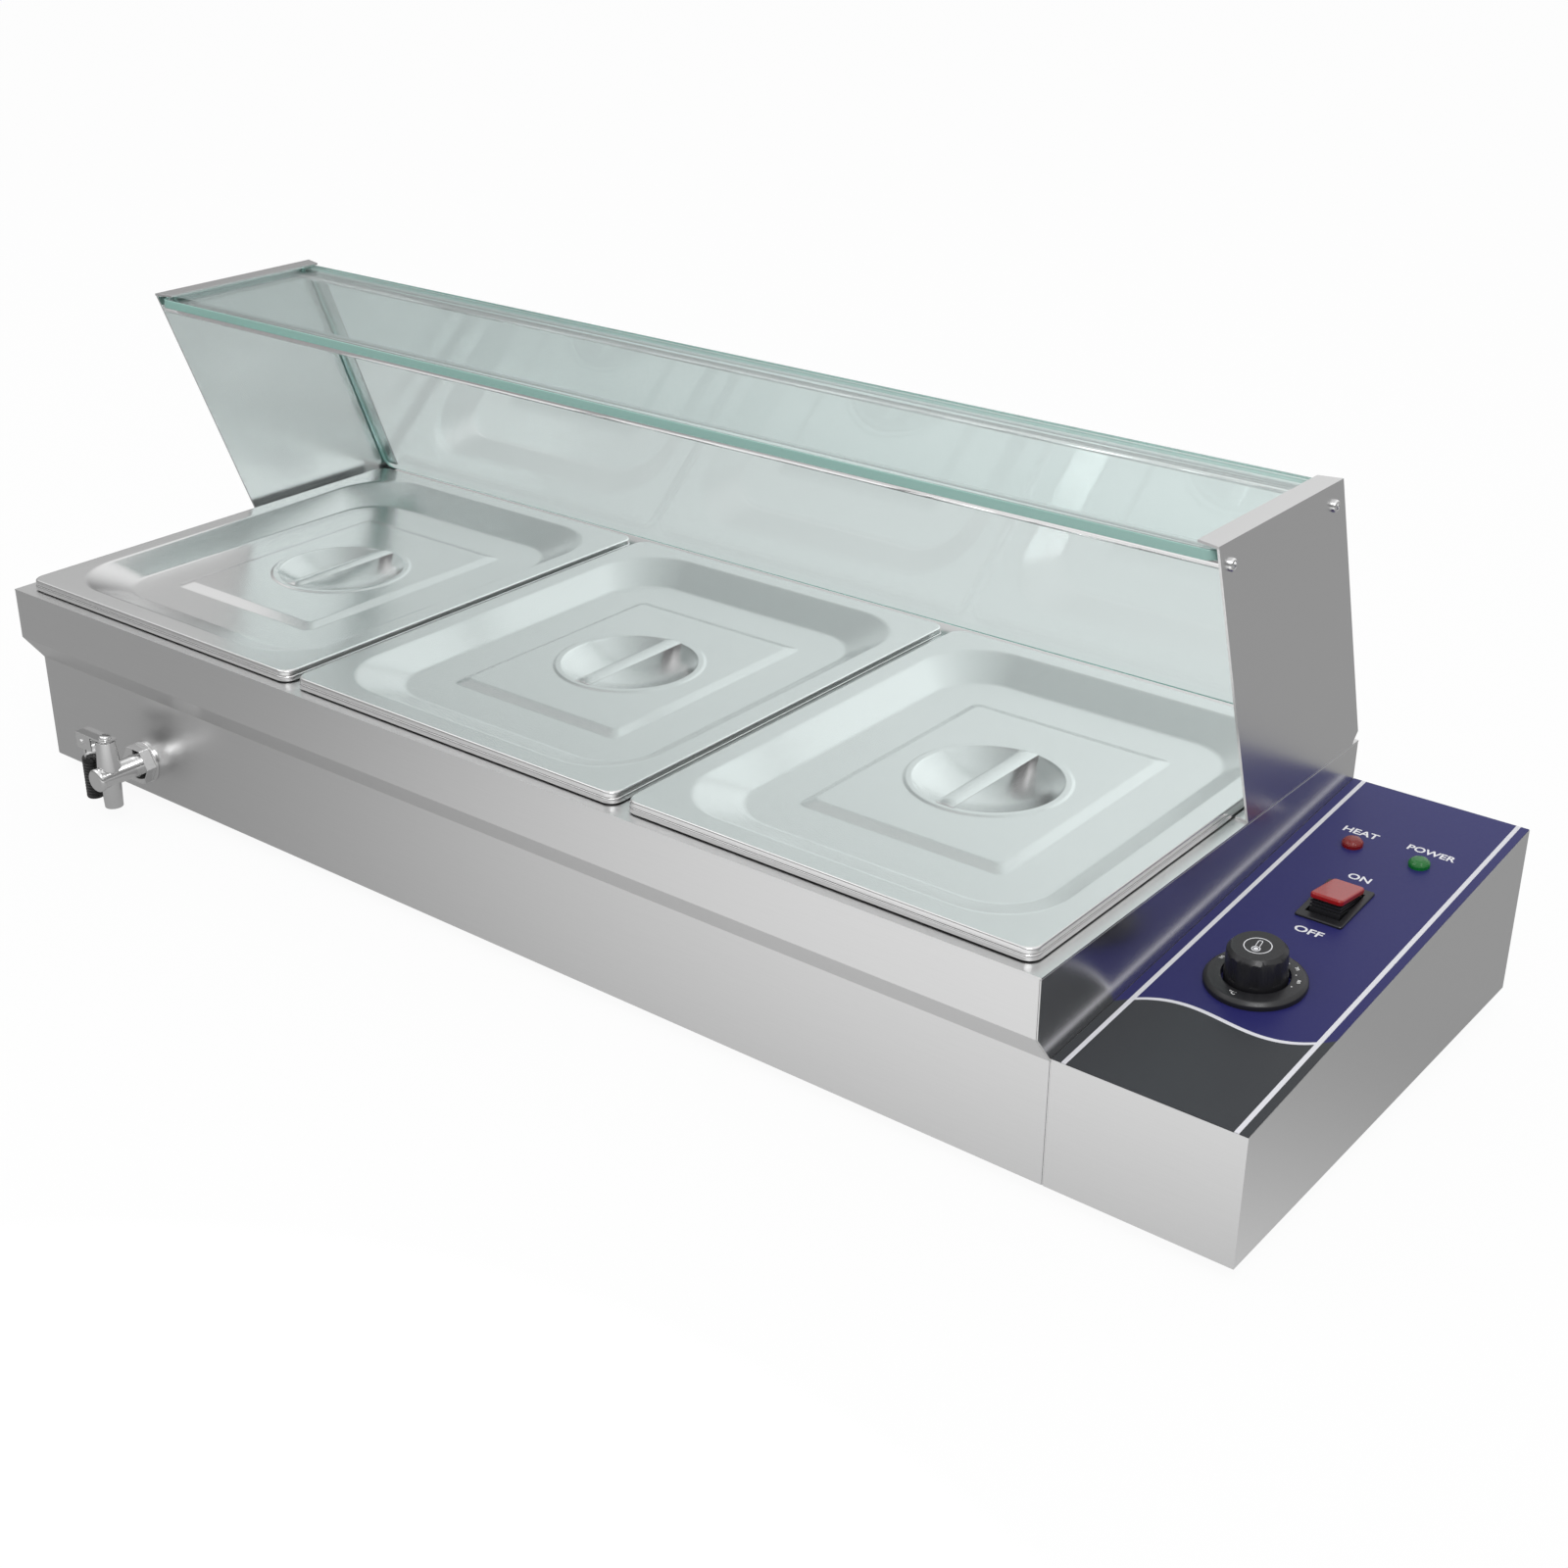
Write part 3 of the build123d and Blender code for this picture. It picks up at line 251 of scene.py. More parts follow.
@dataclass(frozen=True)
class Steel:
    """Stainless sheet with fine brushing and soft clouding."""

    name: str
    slot: str
    tint: Colour = (0.72, 0.72, 0.72)
    roughness: float = 0.3
    spread: float = 0.05
    grain: Grain = Grain.ALONG_X
    relief: float = 0.03
    hair_cells: float = 1400.0
    cloud_cells: float = 9.0
    pale: float = 1.025
    dim: float = 0.975
    depth: float = 0.0002

    def material(self) -> bpy.types.Material:
        """Builds the material."""
        graph = Paint(self.name)
        graph.fix(Metallic=1.0)
        hair = graph.noise(graph.place(self.grain.value), self.hair_cells, 4.0)
        cloud = graph.noise(graph.place(), self.cloud_cells, 2.0)
        mixed = graph.maths("MULTIPLY_ADD", hair, 0.5, graph.maths("MULTIPLY", cloud, 0.5))
        rough = graph.spread(mixed, self.roughness - self.spread, self.roughness + self.spread)
        graph.link(rough, graph.shader.inputs["Roughness"])
        colour = graph.blend(hair, scaled(self.tint, self.dim), scaled(self.tint, self.pale))
        graph.link(colour, graph.shader.inputs["Base Color"])
        graph.bump(hair, self.relief, self.depth)
        return graph.material


@dataclass(frozen=True)
class Plastic:
    """Moulded plastic or rubber with a fine texture."""

    name: str
    slot: str
    colour: Colour
    roughness: float = 0.4
    coat: float = 0.0
    relief: float = 0.05
    cells: float = 900.0
    metallic: float = 0.0
    cloud_cells: float = 30.0
    pale: float = 1.15
    dim: float = 0.88
    depth: float = 0.0001

    def material(self) -> bpy.types.Material:
        """Builds the material."""
        graph = Paint(self.name)
        graph.fix(Metallic=self.metallic, Coat_Weight=self.coat, Coat_Roughness=0.05)
        speck = graph.noise(graph.place(), self.cells, 3.0)
        cloud = graph.noise(graph.place(), self.cloud_cells, 2.0)
        colour = graph.blend(cloud, scaled(self.colour, self.dim), scaled(self.colour, self.pale))
        graph.link(colour, graph.shader.inputs["Base Color"])
        rough = graph.spread(speck, self.roughness * 0.85, self.roughness * 1.15)
        graph.link(rough, graph.shader.inputs["Roughness"])
        graph.bump(speck, self.relief, self.depth)
        return graph.material


@dataclass(frozen=True)
class Glass:
    """Clear float glass with a green tint that deepens along its thickness."""

    name: str
    slot: str
    tint: Colour = (0.865, 0.925, 0.92)
    depth_tint: Colour = (0.30, 0.78, 0.68)
    density: float = 8.0
    cut: Colour = (0.40, 0.66, 0.60)
    cut_clear: float = 0.3
    cut_rough: float = 0.12
    streak_cells: float = 60.0
    streak_rough: float = 0.015

    def material(self) -> bpy.types.Material:
        """Builds the material. Its "edge" attribute marks the ground edges of a pane."""
        graph = Paint(self.name)
        graph.fix(IOR=1.5)
        edge = graph.add("Attribute", attribute_name="edge").outputs["Fac"]
        graph.link(graph.blend(edge, self.tint, self.cut), graph.shader.inputs["Base Color"])
        clearness = graph.spread(edge, 1.0, self.cut_clear, 0.0, 1.0)
        graph.link(clearness, graph.shader.inputs["Transmission Weight"])
        streak = graph.noise(graph.place((0.15, 1, 1)), self.streak_cells, 2.0)
        rough = graph.spread(streak, 0.0, self.streak_rough)
        ground = graph.maths("MULTIPLY", edge, self.cut_rough)
        graph.link(graph.maths("MAXIMUM", rough, ground), graph.shader.inputs["Roughness"])
        clear = graph.add("BsdfTransparent")
        clear.inputs["Color"].default_value = (*(c * c for c in self.tint), 1)
        either = graph.add("MixShader")
        ray = graph.add("LightPath")
        graph.link(ray.outputs["Is Shadow Ray"], either.inputs[0])
        graph.link(graph.shader.outputs[0], either.inputs[1])
        graph.link(clear.outputs[0], either.inputs[2])
        graph.link(either.outputs[0], graph.output.inputs["Surface"])
        inside = graph.add("VolumeAbsorption")
        inside.inputs["Color"].default_value = (*self.depth_tint, 1)
        inside.inputs["Density"].default_value = self.density
        graph.link(inside.outputs[0], graph.output.inputs["Volume"])
        return graph.material


@dataclass(frozen=True)
class Lens:
    """Coloured transparent lens of a pilot lamp."""

    name: str
    slot: str
    colour: Colour
    glow: Colour
    cells: float = 700.0
    dim: float = 0.55

    def material(self) -> bpy.types.Material:
        """Builds the material."""
        graph = Paint(self.name)
        graph.fix(Transmission_Weight=0.3, IOR=1.49, Roughness=0.1, Coat_Weight=0.1)
        graph.fix(Emission_Color=(*self.glow, 1), Emission_Strength=0.02)
        speck = graph.noise(graph.place(), self.cells, 3.0)
        colour = graph.blend(speck, scaled(self.colour, self.dim), self.colour)
        graph.link(colour, graph.shader.inputs["Base Color"])
        graph.bump(speck, 0.25, 0.0003)
        return graph.material


@dataclass(frozen=True)
class PanelPrint:
    """Glossy film with two pale stripes, a pale wave and a grey zone in front of it."""

    name: str
    slot: str
    origin: Vector
    slope: float
    blue: Colour = (0.017, 0.017, 0.108)
    far_blue: Colour = (0.025, 0.026, 0.130)
    grey: Colour = (0.036, 0.039, 0.044)
    line: Colour = (0.66, 0.66, 0.70)
    stripes: tuple[float, float] = (7.0, 103.5)
    stripe_half: float = 1.35
    wave_half: float = 1.25
    wave: tuple[tuple[float, float], ...] = ((8.5, 68.7), (44.0, 78.2), (77.3, 75.4), (100.1, 84.0))
    far_reach: tuple[float, float] = (90.0, 340.0)

    def wave_factors(self) -> list[float]:
        """Gives the factors of the cubic through the four wave points, lowest power first."""
        factors = [0.0] * 4
        for i, (u, v) in enumerate(self.wave):
            term = [v]
            for j, (other, _) in enumerate(self.wave):
                if j == i:
                    continue
                grown = [0.0] * (len(term) + 1)
                for power, value in enumerate(term):
                    grown[power] -= value * other / (u - other)
                    grown[power + 1] += value / (u - other)
                term = grown
            factors = [a + b for a, b in zip(factors, term)]
        return factors

    def material(self) -> bpy.types.Material:
        """Builds the material."""
        graph = Paint(self.name)
        graph.fix(Specular_IOR_Level=0.22)
        where = graph.add("TexCoord").outputs["Object"]
        shift = graph.add("VectorMath", operation="SUBTRACT")
        graph.link(where, shift.inputs[0])
        shift.inputs[1].default_value = self.origin
        turn = graph.add("Mapping")
        graph.link(shift.outputs[0], turn.inputs["Vector"])
        turn.inputs["Rotation"].default_value = (-self.slope, 0, 0)
        turn.inputs["Scale"].default_value = (1000, 1000, 1000)
        split = graph.add("SeparateXYZ")
        graph.link(turn.outputs[0], split.inputs[0])
        u, v = split.outputs[0], split.outputs[1]
        low, *rest = self.wave_factors()
        total: object = rest[-1]
        for factor in (*rest[-2::-1], low):
            total = graph.maths("ADD", graph.maths("MULTIPLY", u, total), factor)
        off = graph.maths("SUBTRACT", v, total)
        front = graph.maths("LESS_THAN", off, 0.0)
        ground = graph.blend(graph.spread(v, 0.0, 1.0, *self.far_reach), self.blue, self.far_blue)
        zones = graph.blend(front, ground, self.grey)
        marks = graph.maths("LESS_THAN", graph.maths("ABSOLUTE", off), self.wave_half)
        left, right = self.stripes
        sideways = graph.maths("ABSOLUTE", graph.maths("SUBTRACT", u, (left + right) / 2))
        marks = graph.maths("MULTIPLY", marks, graph.maths("LESS_THAN", sideways, (right - left) / 2))
        for stripe in self.stripes:
            near = graph.maths("ABSOLUTE", graph.maths("SUBTRACT", u, stripe))
            marks = graph.maths("MAXIMUM", marks, graph.maths("LESS_THAN", near, self.stripe_half))
        graph.link(graph.blend(marks, zones, self.line), graph.shader.inputs["Base Color"])
        speck = graph.noise(graph.place(), 600.0, 2.0)
        graph.link(graph.spread(speck, 0.34, 0.40), graph.shader.inputs["Roughness"])
        return graph.material


# ---- meshes -------------------------------------------------------------------------


Ring = tuple[float, ...]


def blended_path(points: list[Ring], reach: float, steps: int = 4) -> list[Ring]:
    """Rounds the inner corners of a path of any number of dimensions.

    Args:
        points: Corners of the path.
        reach: Length of path that a round takes up on each side of its corner.
        steps: Segments per round.

    Returns:
        The rounded path.
    """
    path = [points[0]]
    for before, corner, after in zip(points, points[1:], points[2:]):
        near = min(reach / math.dist(before, corner), 0.48)
        far = min(reach / math.dist(corner, after), 0.48)
        for step in range(steps + 1):
            t = step / steps
            back, on = near * (1 - t) ** 2, far * t * t
            path.append(tuple(c + (b - c) * back + (a - c) * on for b, c, a in zip(before, corner, after)))
    path.append(points[-1])
    return path


def ring_points(half_x: float, half_y: float, radius: float, centre: Vector, height: float,
                arc: int = 16, side: int = 8) -> list[Vector]:
    """Points round a rounded rectangle, or round a circle when the radius fills it.

    Args:
        half_x: Half of the size along X.
        half_y: Half of the size along Y.
        radius: Corner radius.
        centre: Middle in the row frame, in metres.
        height: Height in the row frame.
        arc: Segments per corner.
        side: Segments per side.

    Returns:
        The points in metres.
    """
    count = arc + side
    points = []
    for quarter in range(4):
        for step in range(count):
            if radius >= min(half_x, half_y) - 1e-6:
                angle = math.radians(45 + 90 * quarter + (step - arc / 2) * 90 / count)
                x, y = half_x * math.cos(angle), half_y * math.sin(angle)
            else:
                corner = math.radians(90 * quarter + 90 * min(step, arc) / arc)
                turn = math.radians(45 + 90 * quarter)
                x = math.copysign(half_x - radius, math.cos(turn)) + radius * math.cos(corner)
                y = math.copysign(half_y - radius, math.sin(turn)) + radius * math.sin(corner)
                if step > arc:
                    onward = math.radians(45 + 90 * (quarter + 1))
                    next_x = math.copysign(half_x - radius, math.cos(onward)) + radius * math.cos(corner)
                    next_y = math.copysign(half_y - radius, math.sin(onward)) + radius * math.sin(corner)
                    share = (step - arc) / side
                    x, y = x + (next_x - x) * share, y + (next_y - y) * share
            points.append(Vector((centre.x + x * MM, centre.y + y * MM, height * MM)))
    return points


class RingSkin:
    """Skin grown from one closed ring of edges by extruding it and setting each new ring."""

    def __init__(self, points: list[Vector]) -> None:
        """Starts the skin.

        Args:
            points: Places of the first ring.
        """
        self.mesh = bmesh.new()
        made = bmesh.ops.create_circle(self.mesh, cap_ends=False, radius=1.0, segments=len(points))
        self.ring = list(made["verts"])
        for vert, point in zip(self.ring, points):
            vert.co = point

    def edges(self) -> list[bmesh.types.BMEdge]:
        """Gives the edges of the newest ring."""
        members = set(self.ring)
        return [e for v in self.ring for e in v.link_edges
                if e.verts[0] in members and e.verts[1] in members and e.verts[0] is v]

    def grow(self, points: list[Vector]) -> None:
        """Extrudes the ring and moves the new one.

        Args:
            points: Places of the new ring.
        """
        old = {v: i for i, v in enumerate(self.ring)}
        made = bmesh.ops.extrude_edge_only(self.mesh, edges=self.edges())
        fresh = [v for v in made["geom"] if isinstance(v, bmesh.types.BMVert)]
        ring: list[bmesh.types.BMVert] = [None] * len(points)
        for vert in fresh:
            for edge in vert.link_edges:
                other = edge.other_vert(vert)
                if other in old:
                    ring[old[other]] = vert
        self.ring = ring
        for vert, point in zip(ring, points):
            vert.co = point

    def close(self) -> None:
        """Fills the newest ring with one face."""
        bmesh.ops.edgeloop_fill(self.mesh, edges=self.edges())

    def thicken(self, wall: float) -> bmesh.types.BMesh:
        """Gives the skin a wall on its inner side.

        Args:
            wall: Thickness in millimetres, positive inwards.

        Returns:
            The mesh.
        """
        bmesh.ops.recalc_face_normals(self.mesh, faces=self.mesh.faces)
        bmesh.ops.solidify(self.mesh, geom=self.mesh.faces[:], thickness=wall * MM)
        return self.mesh


def skinned(rings: list[Ring], centre: Vector, wall: float) -> bmesh.types.BMesh:
    """Grows a closed sheet through rounded rectangles.

    Args:
        rings: Half sizes, corner radius and height of each, in millimetres.
        centre: Middle in metres.
        wall: Thickness of the sheet in millimetres.

    Returns:
        The mesh.
    """
    outlines = [ring_points(*ring[:3], centre, ring[3]) for ring in rings]
    skin = RingSkin(outlines[0])
    for outline in outlines[1:]:
        skin.grow(outline)
    skin.close()
    return skin.thicken(wall)


def turned(profile: list[tuple[float, float]], place: Matrix, steps: int = 48) -> bmesh.types.BMesh:
    """Turns a closed profile about its own axis.

    Args:
        profile: Radius and height of each point, in millimetres.
        place: Matrix from the profile's frame, whose Z is the axis, to the row frame.
        steps: Segments round the axis.

    Returns:
        The mesh.
    """
    mesh = bmesh.new()
    verts = [mesh.verts.new((r * MM, 0, h * MM)) for r, h in profile]
    edges = [mesh.edges.new(pair) for pair in zip(verts, verts[1:])]
    bmesh.ops.spin(mesh, geom=verts + edges, cent=(0, 0, 0), axis=(0, 0, 1), dvec=(0, 0, 0),
                   angle=math.tau, steps=steps, use_merge=True)
    bmesh.ops.remove_doubles(mesh, verts=mesh.verts, dist=1e-6)
    bmesh.ops.dissolve_degenerate(mesh, dist=1e-7, edges=mesh.edges)
    bmesh.ops.recalc_face_normals(mesh, faces=mesh.faces)
    bmesh.ops.transform(mesh, matrix=place, verts=mesh.verts)
    return mesh


def prism(outline: list[tuple[float, float]], height: float, place: Matrix,
          edge: float = 0.0, segments: int = 2) -> bmesh.types.BMesh:
    """Raises a flat outline and rounds its edges.

    Args:
        outline: Corners in millimetres.
        height: Height in millimetres.
        place: Matrix from the outline's frame to the row frame.
        edge: Radius of the rounding in millimetres.
        segments: Segments of the rounding.

    Returns:
        The mesh.
    """
    mesh = bmesh.new()
    mesh.faces.new([mesh.verts.new((x * MM, y * MM, 0)) for x, y in outline])
    raised(mesh, height)
    if edge:
        round_edges(mesh, edge, segments, 20.0)
    bmesh.ops.transform(mesh, matrix=place, verts=mesh.verts)
    return mesh


def raised(mesh: bmesh.types.BMesh, height: float) -> bmesh.types.BMesh:
    """Extrudes flat faces upwards.

    Args:
        mesh: Mesh to change.
        height: Height in millimetres.

    Returns:
        The same mesh, closed.
    """
    made = bmesh.ops.extrude_face_region(mesh, geom=mesh.faces[:])
    lifted = [v for v in made["geom"] if isinstance(v, bmesh.types.BMVert)]
    bmesh.ops.translate(mesh, verts=lifted, vec=(0, 0, height * MM))
    bmesh.ops.recalc_face_normals(mesh, faces=mesh.faces)
    return mesh


def round_edges(mesh: bmesh.types.BMesh, width: float, segments: int, angle: float) -> None:
    """Bevels every edge sharper than an angle.

    Args:
        mesh: Mesh to change.
        width: Width in millimetres.
        segments: Segments across the bevel.
        angle: Least angle in degrees.
    """
    limit = math.radians(angle)
    sharp = [e for e in mesh.edges if len(e.link_faces) == 2 and e.calc_face_angle(0.0) > limit]
    bmesh.ops.bevel(mesh, geom=sharp, offset=width * MM, offset_type="OFFSET", segments=segments,
                    profile=0.5, affect="EDGES", clamp_overlap=True, material=-1)


def softened(node: str, width: float, segments: int = 2, angle: float = 35.0) -> bmesh.types.BMesh:
    """Copies a frame node with its edges broken.

    Args:
        node: Name of the node.
        width: Width of the rounding in millimetres.
        segments: Segments across it.
        angle: Least angle of an edge that is rounded, in degrees.

    Returns:
        The mesh.
    """
    mesh = bmesh.new()
    mesh.from_mesh(frame["nodes"][node].data)
    bmesh.ops.remove_doubles(mesh, verts=mesh.verts, dist=1e-6)
    bmesh.ops.dissolve_limit(mesh, angle_limit=math.radians(0.4), use_dissolve_boundaries=False,
                             verts=mesh.verts, edges=mesh.edges)
    round_edges(mesh, width, segments, angle)
    return mesh


def merged(*parts: bmesh.types.BMesh) -> bmesh.types.BMesh:
    """Joins meshes into the first one.

    Args:
        parts: Meshes.

    Returns:
        The first mesh with the others added.
    """
    whole, *others = parts
    for part in others:
        data = bpy.data.meshes.new("part")
        part.to_mesh(data)
        part.free()
        whole.from_mesh(data)
        bpy.data.meshes.remove(data)
    return whole


def publish(name: str, mesh: bmesh.types.BMesh, finish: object, body: str, *nodes: str,
            crease: float = 38.0) -> bpy.types.Object:
    """Turns a mesh into a dressed piece that rides on a body.

    Args:
        name: Name of the piece.
        mesh: Mesh, which is used up.
        finish: Finish with a material method and a slot.
        body: Name of the body.
        nodes: Frame nodes that the piece stands for.
        crease: Angle over which an edge stays sharp, in degrees.

    Returns:
        The object.
    """
    data = bpy.data.meshes.new(name)
    mesh.to_mesh(data)
    mesh.free()
    data.shade_smooth()
    data.set_sharp_from_angle(angle=math.radians(crease))
    piece = bpy.data.objects.new(name, data)
    bpy.context.scene.collection.objects.link(piece)
    data.materials.append(dressing(finish))
    even = piece.modifiers.new("even_normals", "WEIGHTED_NORMAL")
    even.keep_sharp = True
    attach(piece, body)
    if nodes:
        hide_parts(*nodes)
    log.info("%s: %d faces on %s", name, len(data.polygons), body)
    return piece


_dressings: dict[object, bpy.types.Material] = {}


def dressing(finish: object) -> bpy.types.Material:
    """Gives the material of a finish, built once."""
    if finish not in _dressings:
        _dressings[finish] = finish.material()
    return _dressings[finish]


def redress(finish: object, *nodes: str) -> None:
    """Gives frame nodes a finish and leaves their meshes alone.

    Args:
        finish: Finish for all of them.
        nodes: Names of the nodes.
    """
    for name in nodes:
        node = frame["nodes"][name]
        node.data.materials.clear()
        node.data.materials.append(dressing(finish))


def facing(origin: Vector, axis: Vector, right: Vector = Vector((1, 0, 0))) -> Matrix:
    """Gives the matrix that puts a frame's Z on an axis.

    Args:
        origin: Place of the frame's origin in metres.
        axis: Direction of its Z.
        right: Direction near its X.

    Returns:
        The matrix.
    """
    z = axis.normalized()
    y = z.cross(right).normalized()
    x = y.cross(z)
    return Matrix.Translation(origin) @ Matrix((x, y, z)).transposed().to_4x4()


# ---- finishes in use ----------------------------------------------------------------

CASING = Steel("casing_steel", "casing_steel", (0.70, 0.70, 0.70), 0.31, 0.015, Grain.ALONG_X, 0.01)
END_SHEET = Steel("end_steel", "casing_steel", (0.70, 0.70, 0.70), 0.24, 0.015, Grain.ALONG_Y, 0.01)
SHIELD_SHEET = Steel("shield_steel", "casing_steel", (0.70, 0.70, 0.70), 0.25, 0.015, Grain.ALONG_Y, 0.01)
LID_SHEET = Steel("lid_steel", "lid_steel", (0.76, 0.76, 0.76), 0.24, 0.02, Grain.ALL_ROUND, 0.004)
PAN_SHEET = Steel("pan_steel", "pan_steel", (0.74, 0.74, 0.74), 0.24, 0.02, Grain.ALL_ROUND, 0.004)
WELL_SHEET = Steel("well_steel", "well_steel", (0.62, 0.62, 0.61), 0.33, 0.06, Grain.ALONG_X)
CHROME = Steel("chrome", "chrome", (0.80, 0.80, 0.80), 0.06, 0.02, Grain.ALL_ROUND, 0.004)
ZINC = Steel("zinc", "zinc_steel", (0.62, 0.63, 0.64), 0.3, 0.08, Grain.ALL_ROUND)
BRASS = Plastic("brass", "brass", (0.66, 0.47, 0.2), 0.28, metallic=1.0)
COPPER = Plastic("copper", "copper_tube", (0.66, 0.36, 0.24), 0.3, metallic=1.0)
SHEATH = Steel("element_sheath", "element_sheath", (0.32, 0.31, 0.30), 0.35, 0.1, Grain.ALL_ROUND)
BLACK = Plastic("black_plastic", "black_plastic", (0.012, 0.012, 0.014), 0.34)
GRIP_BLACK = Plastic("grip_black", "black_plastic", (0.01, 0.01, 0.01), 0.3)
RUBBER = Plastic("rubber", "rubber", (0.016, 0.016, 0.016), 0.65, relief=0.1)
RED = Plastic("red_plastic", "red_plastic", (0.32, 0.006, 0.006), 0.16, 0.3, relief=0.01)
HOUSING = Plastic("lamp_housing", "lamp_housing", (0.7, 0.7, 0.66), 0.5)
CASE = Plastic("thermostat_case", "thermostat_case", (0.1, 0.1, 0.1), 0.5)
CERAMIC = Plastic("ceramic", "ceramic_block", (0.8, 0.79, 0.75), 0.35)
WHITE_PRINT = Plastic("white_print", "panel_print", (0.75, 0.75, 0.78), 0.4, relief=0.0)
DIAL_PRINT = Plastic("dial_print", "black_plastic", (0.7, 0.7, 0.7), 0.4, relief=0.0)
CLEAR = Glass("clear_glass", "clear_glass")
RED_LENS = Lens("red_lens", "red_lens", (0.30, 0.008, 0.006), (0.9, 0.03, 0.01))
GREEN_LENS = Lens("green_lens", "green_lens", (0.005, 0.22, 0.03), (0.02, 0.8, 0.1))


# ---- sub-assemblies -----------------------------------------------------------------


@dataclass
class Casing:
    """Folded sheets of the body, the well, the control box and the feet."""

    fold: float = 0.45

    def build(self) -> None:
        """Builds the sheets with rounded folds."""
        for node, finish in (
            ("casing_front", CASING), ("casing_rear", CASING), ("deck", CASING),
            ("end_plate_left", END_SHEET), ("end_plate_right", END_SHEET),
            ("control_box", CASING), ("water_tank", WELL_SHEET),
        ):
            publish(node + "_sheet", softened(node, self.fold), finish, Body.BASE.value, node)
        redress(WELL_SHEET, "base_plate", "control_box_base", "element_clips")
        redress(RUBBER, "feet", "glass_pads")
        redress(ZINC, "base_screws", "shield_nuts", "earth_stud")
        redress(BRASS, "element_glands", "capillary_gland")
        redress(COPPER, "capillary")
        redress(SHEATH, "heating_element")
        redress(CERAMIC, "dry_boil_cutout", "terminal_block")
        redress(CASE, "thermostat_body")
        redress(HOUSING, "heat_lamp_body", "power_lamp_body")
        redress(BLACK, "cable_gland_nut")
        publish("cable_gland_shell", softened("cable_gland", 0.4), BLACK, Body.BASE.value, "cable_gland")


@dataclass
class Lid:
    """Pressed lid with a sunken floor, a raised plate, a ring bead and a finger dish."""

    number: int
    corner_radius: float = 7.5
    mouth_in: float = 14.7
    mouth_radius: float = 44.0
    floor_in: tuple[float, float] = (35.4, 41.8)
    floor_radius: float = 34.0
    floor_depth: float = 11.3
    plate_low: tuple[float, float] = (70.0, 92.0)
    plate_high: tuple[float, float] = (63.5, 83.5)
    plate_rise: float = 2.4
    bead: tuple[float, float] = (50.0, 43.0)
    bead_rise: float = 0.8
    dish_depth: float = 14.0
    wall: float = 0.8
    skirt: float = 3.5
    plate_skirt: float = 8.0
    plate_corners: tuple[float, float, float] = (14.0, 6.0, 4.0)
    plate_inner: tuple[float, float] = (58.0, 78.0)
    bead_start: float = 1.5
    bead_run: float = 1.8
    dish_lip: float = 0.6
    dish_rings: int = 12
    edge_gap: float = 0.5
    deep_fold: tuple[float, int] = (2.6, 5)
    plate_fold: tuple[float, int] = (1.1, 3)
    bead_fold: tuple[float, int] = (0.8, 3)
    bar_wall: float = 0.4
    bar_crown: float = 1.7
    bar_ends: float = 9.0

    def rings(self) -> list[Ring]:
        """Gives half sizes, corner radius and height of every ring, from the skirt inwards."""
        low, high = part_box(f"lid_{self.number}")
        half_x, half_y = (high.x - low.x) / 2 / MM, (high.y - low.y) / 2 / MM
        top = high.z / MM
        floor = top - self.floor_depth
        plate = floor + self.plate_rise
        skirt = top - self.skirt
        low_x, low_y = self.plate_low
        around, foot, brow = self.plate_corners
        around_plate = (low_x + self.plate_skirt, low_y + self.plate_skirt, around, floor)
        mouth, (floor_x, floor_y) = self.mouth_in - self.edge_gap, self.floor_in
        pressed = blended_path([
            (half_x, half_y, self.corner_radius, skirt),
            (half_x, half_y, self.corner_radius, top),
            (half_x - mouth, half_y - mouth, self.mouth_radius, top),
            (half_x + self.edge_gap - floor_x, half_y + self.edge_gap - floor_y, self.floor_radius, floor),
            around_plate,
        ], *self.deep_fold)
        pressed += blended_path([
            around_plate,
            (low_x, low_y, foot, floor),
            (*self.plate_high, brow, plate),
            (*self.plate_inner, brow, plate),
        ], *self.plate_fold)[1:]
        outer, inner = self.bead
        raised_bead = blended_path([(radius, radius, radius, height) for radius, height in (
            (outer + self.bead_start, plate),
            (outer, plate),
            (outer - self.bead_run, plate + self.bead_rise),
            (inner + self.bead_run, plate + self.bead_rise),
            (inner, plate - self.dish_lip),
        )], *self.bead_fold)
        ball = (inner**2 + self.dish_depth**2) / (2 * self.dish_depth)
        dish = []
        for step in range(1, self.dish_rings + 1):
            radius = inner * (1 - step / (self.dish_rings + 0.5))
            sunk = plate - self.dish_depth + ball - math.sqrt(ball**2 - radius**2)
            dish.append((radius, radius, radius, sunk))
        return pressed + raised_bead + dish

    def bar(self) -> bmesh.types.BMesh:
        """Makes the crowned bar across the dish, with ends that sink to the bead."""
        low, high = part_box(f"lid_grip_{self.number}")
        mesh = bmesh.new()
        bmesh.ops.create_grid(mesh, x_segments=12, y_segments=40, size=0.5)
        size, middle, wall = high - low, (low + high) / 2, self.bar_wall * MM
        for vert in mesh.verts:
            across, along = vert.co.x * 2, vert.co.y * 2
            ends = min(1.0, (1 - abs(along)) * self.bar_ends) ** 0.5
            crown = (1 - abs(across) ** self.bar_crown) * ends
            vert.co = Vector((
                middle.x + vert.co.x * size.x,
                middle.y + vert.co.y * size.y,
                low.z + wall + crown * (size.z - wall)))
        bmesh.ops.recalc_face_normals(mesh, faces=mesh.faces)
        if mesh.faces[0].normal.z < 0:
            bmesh.ops.reverse_faces(mesh, faces=mesh.faces)
        bmesh.ops.solidify(mesh, geom=mesh.faces[:], thickness=wall)
        return mesh

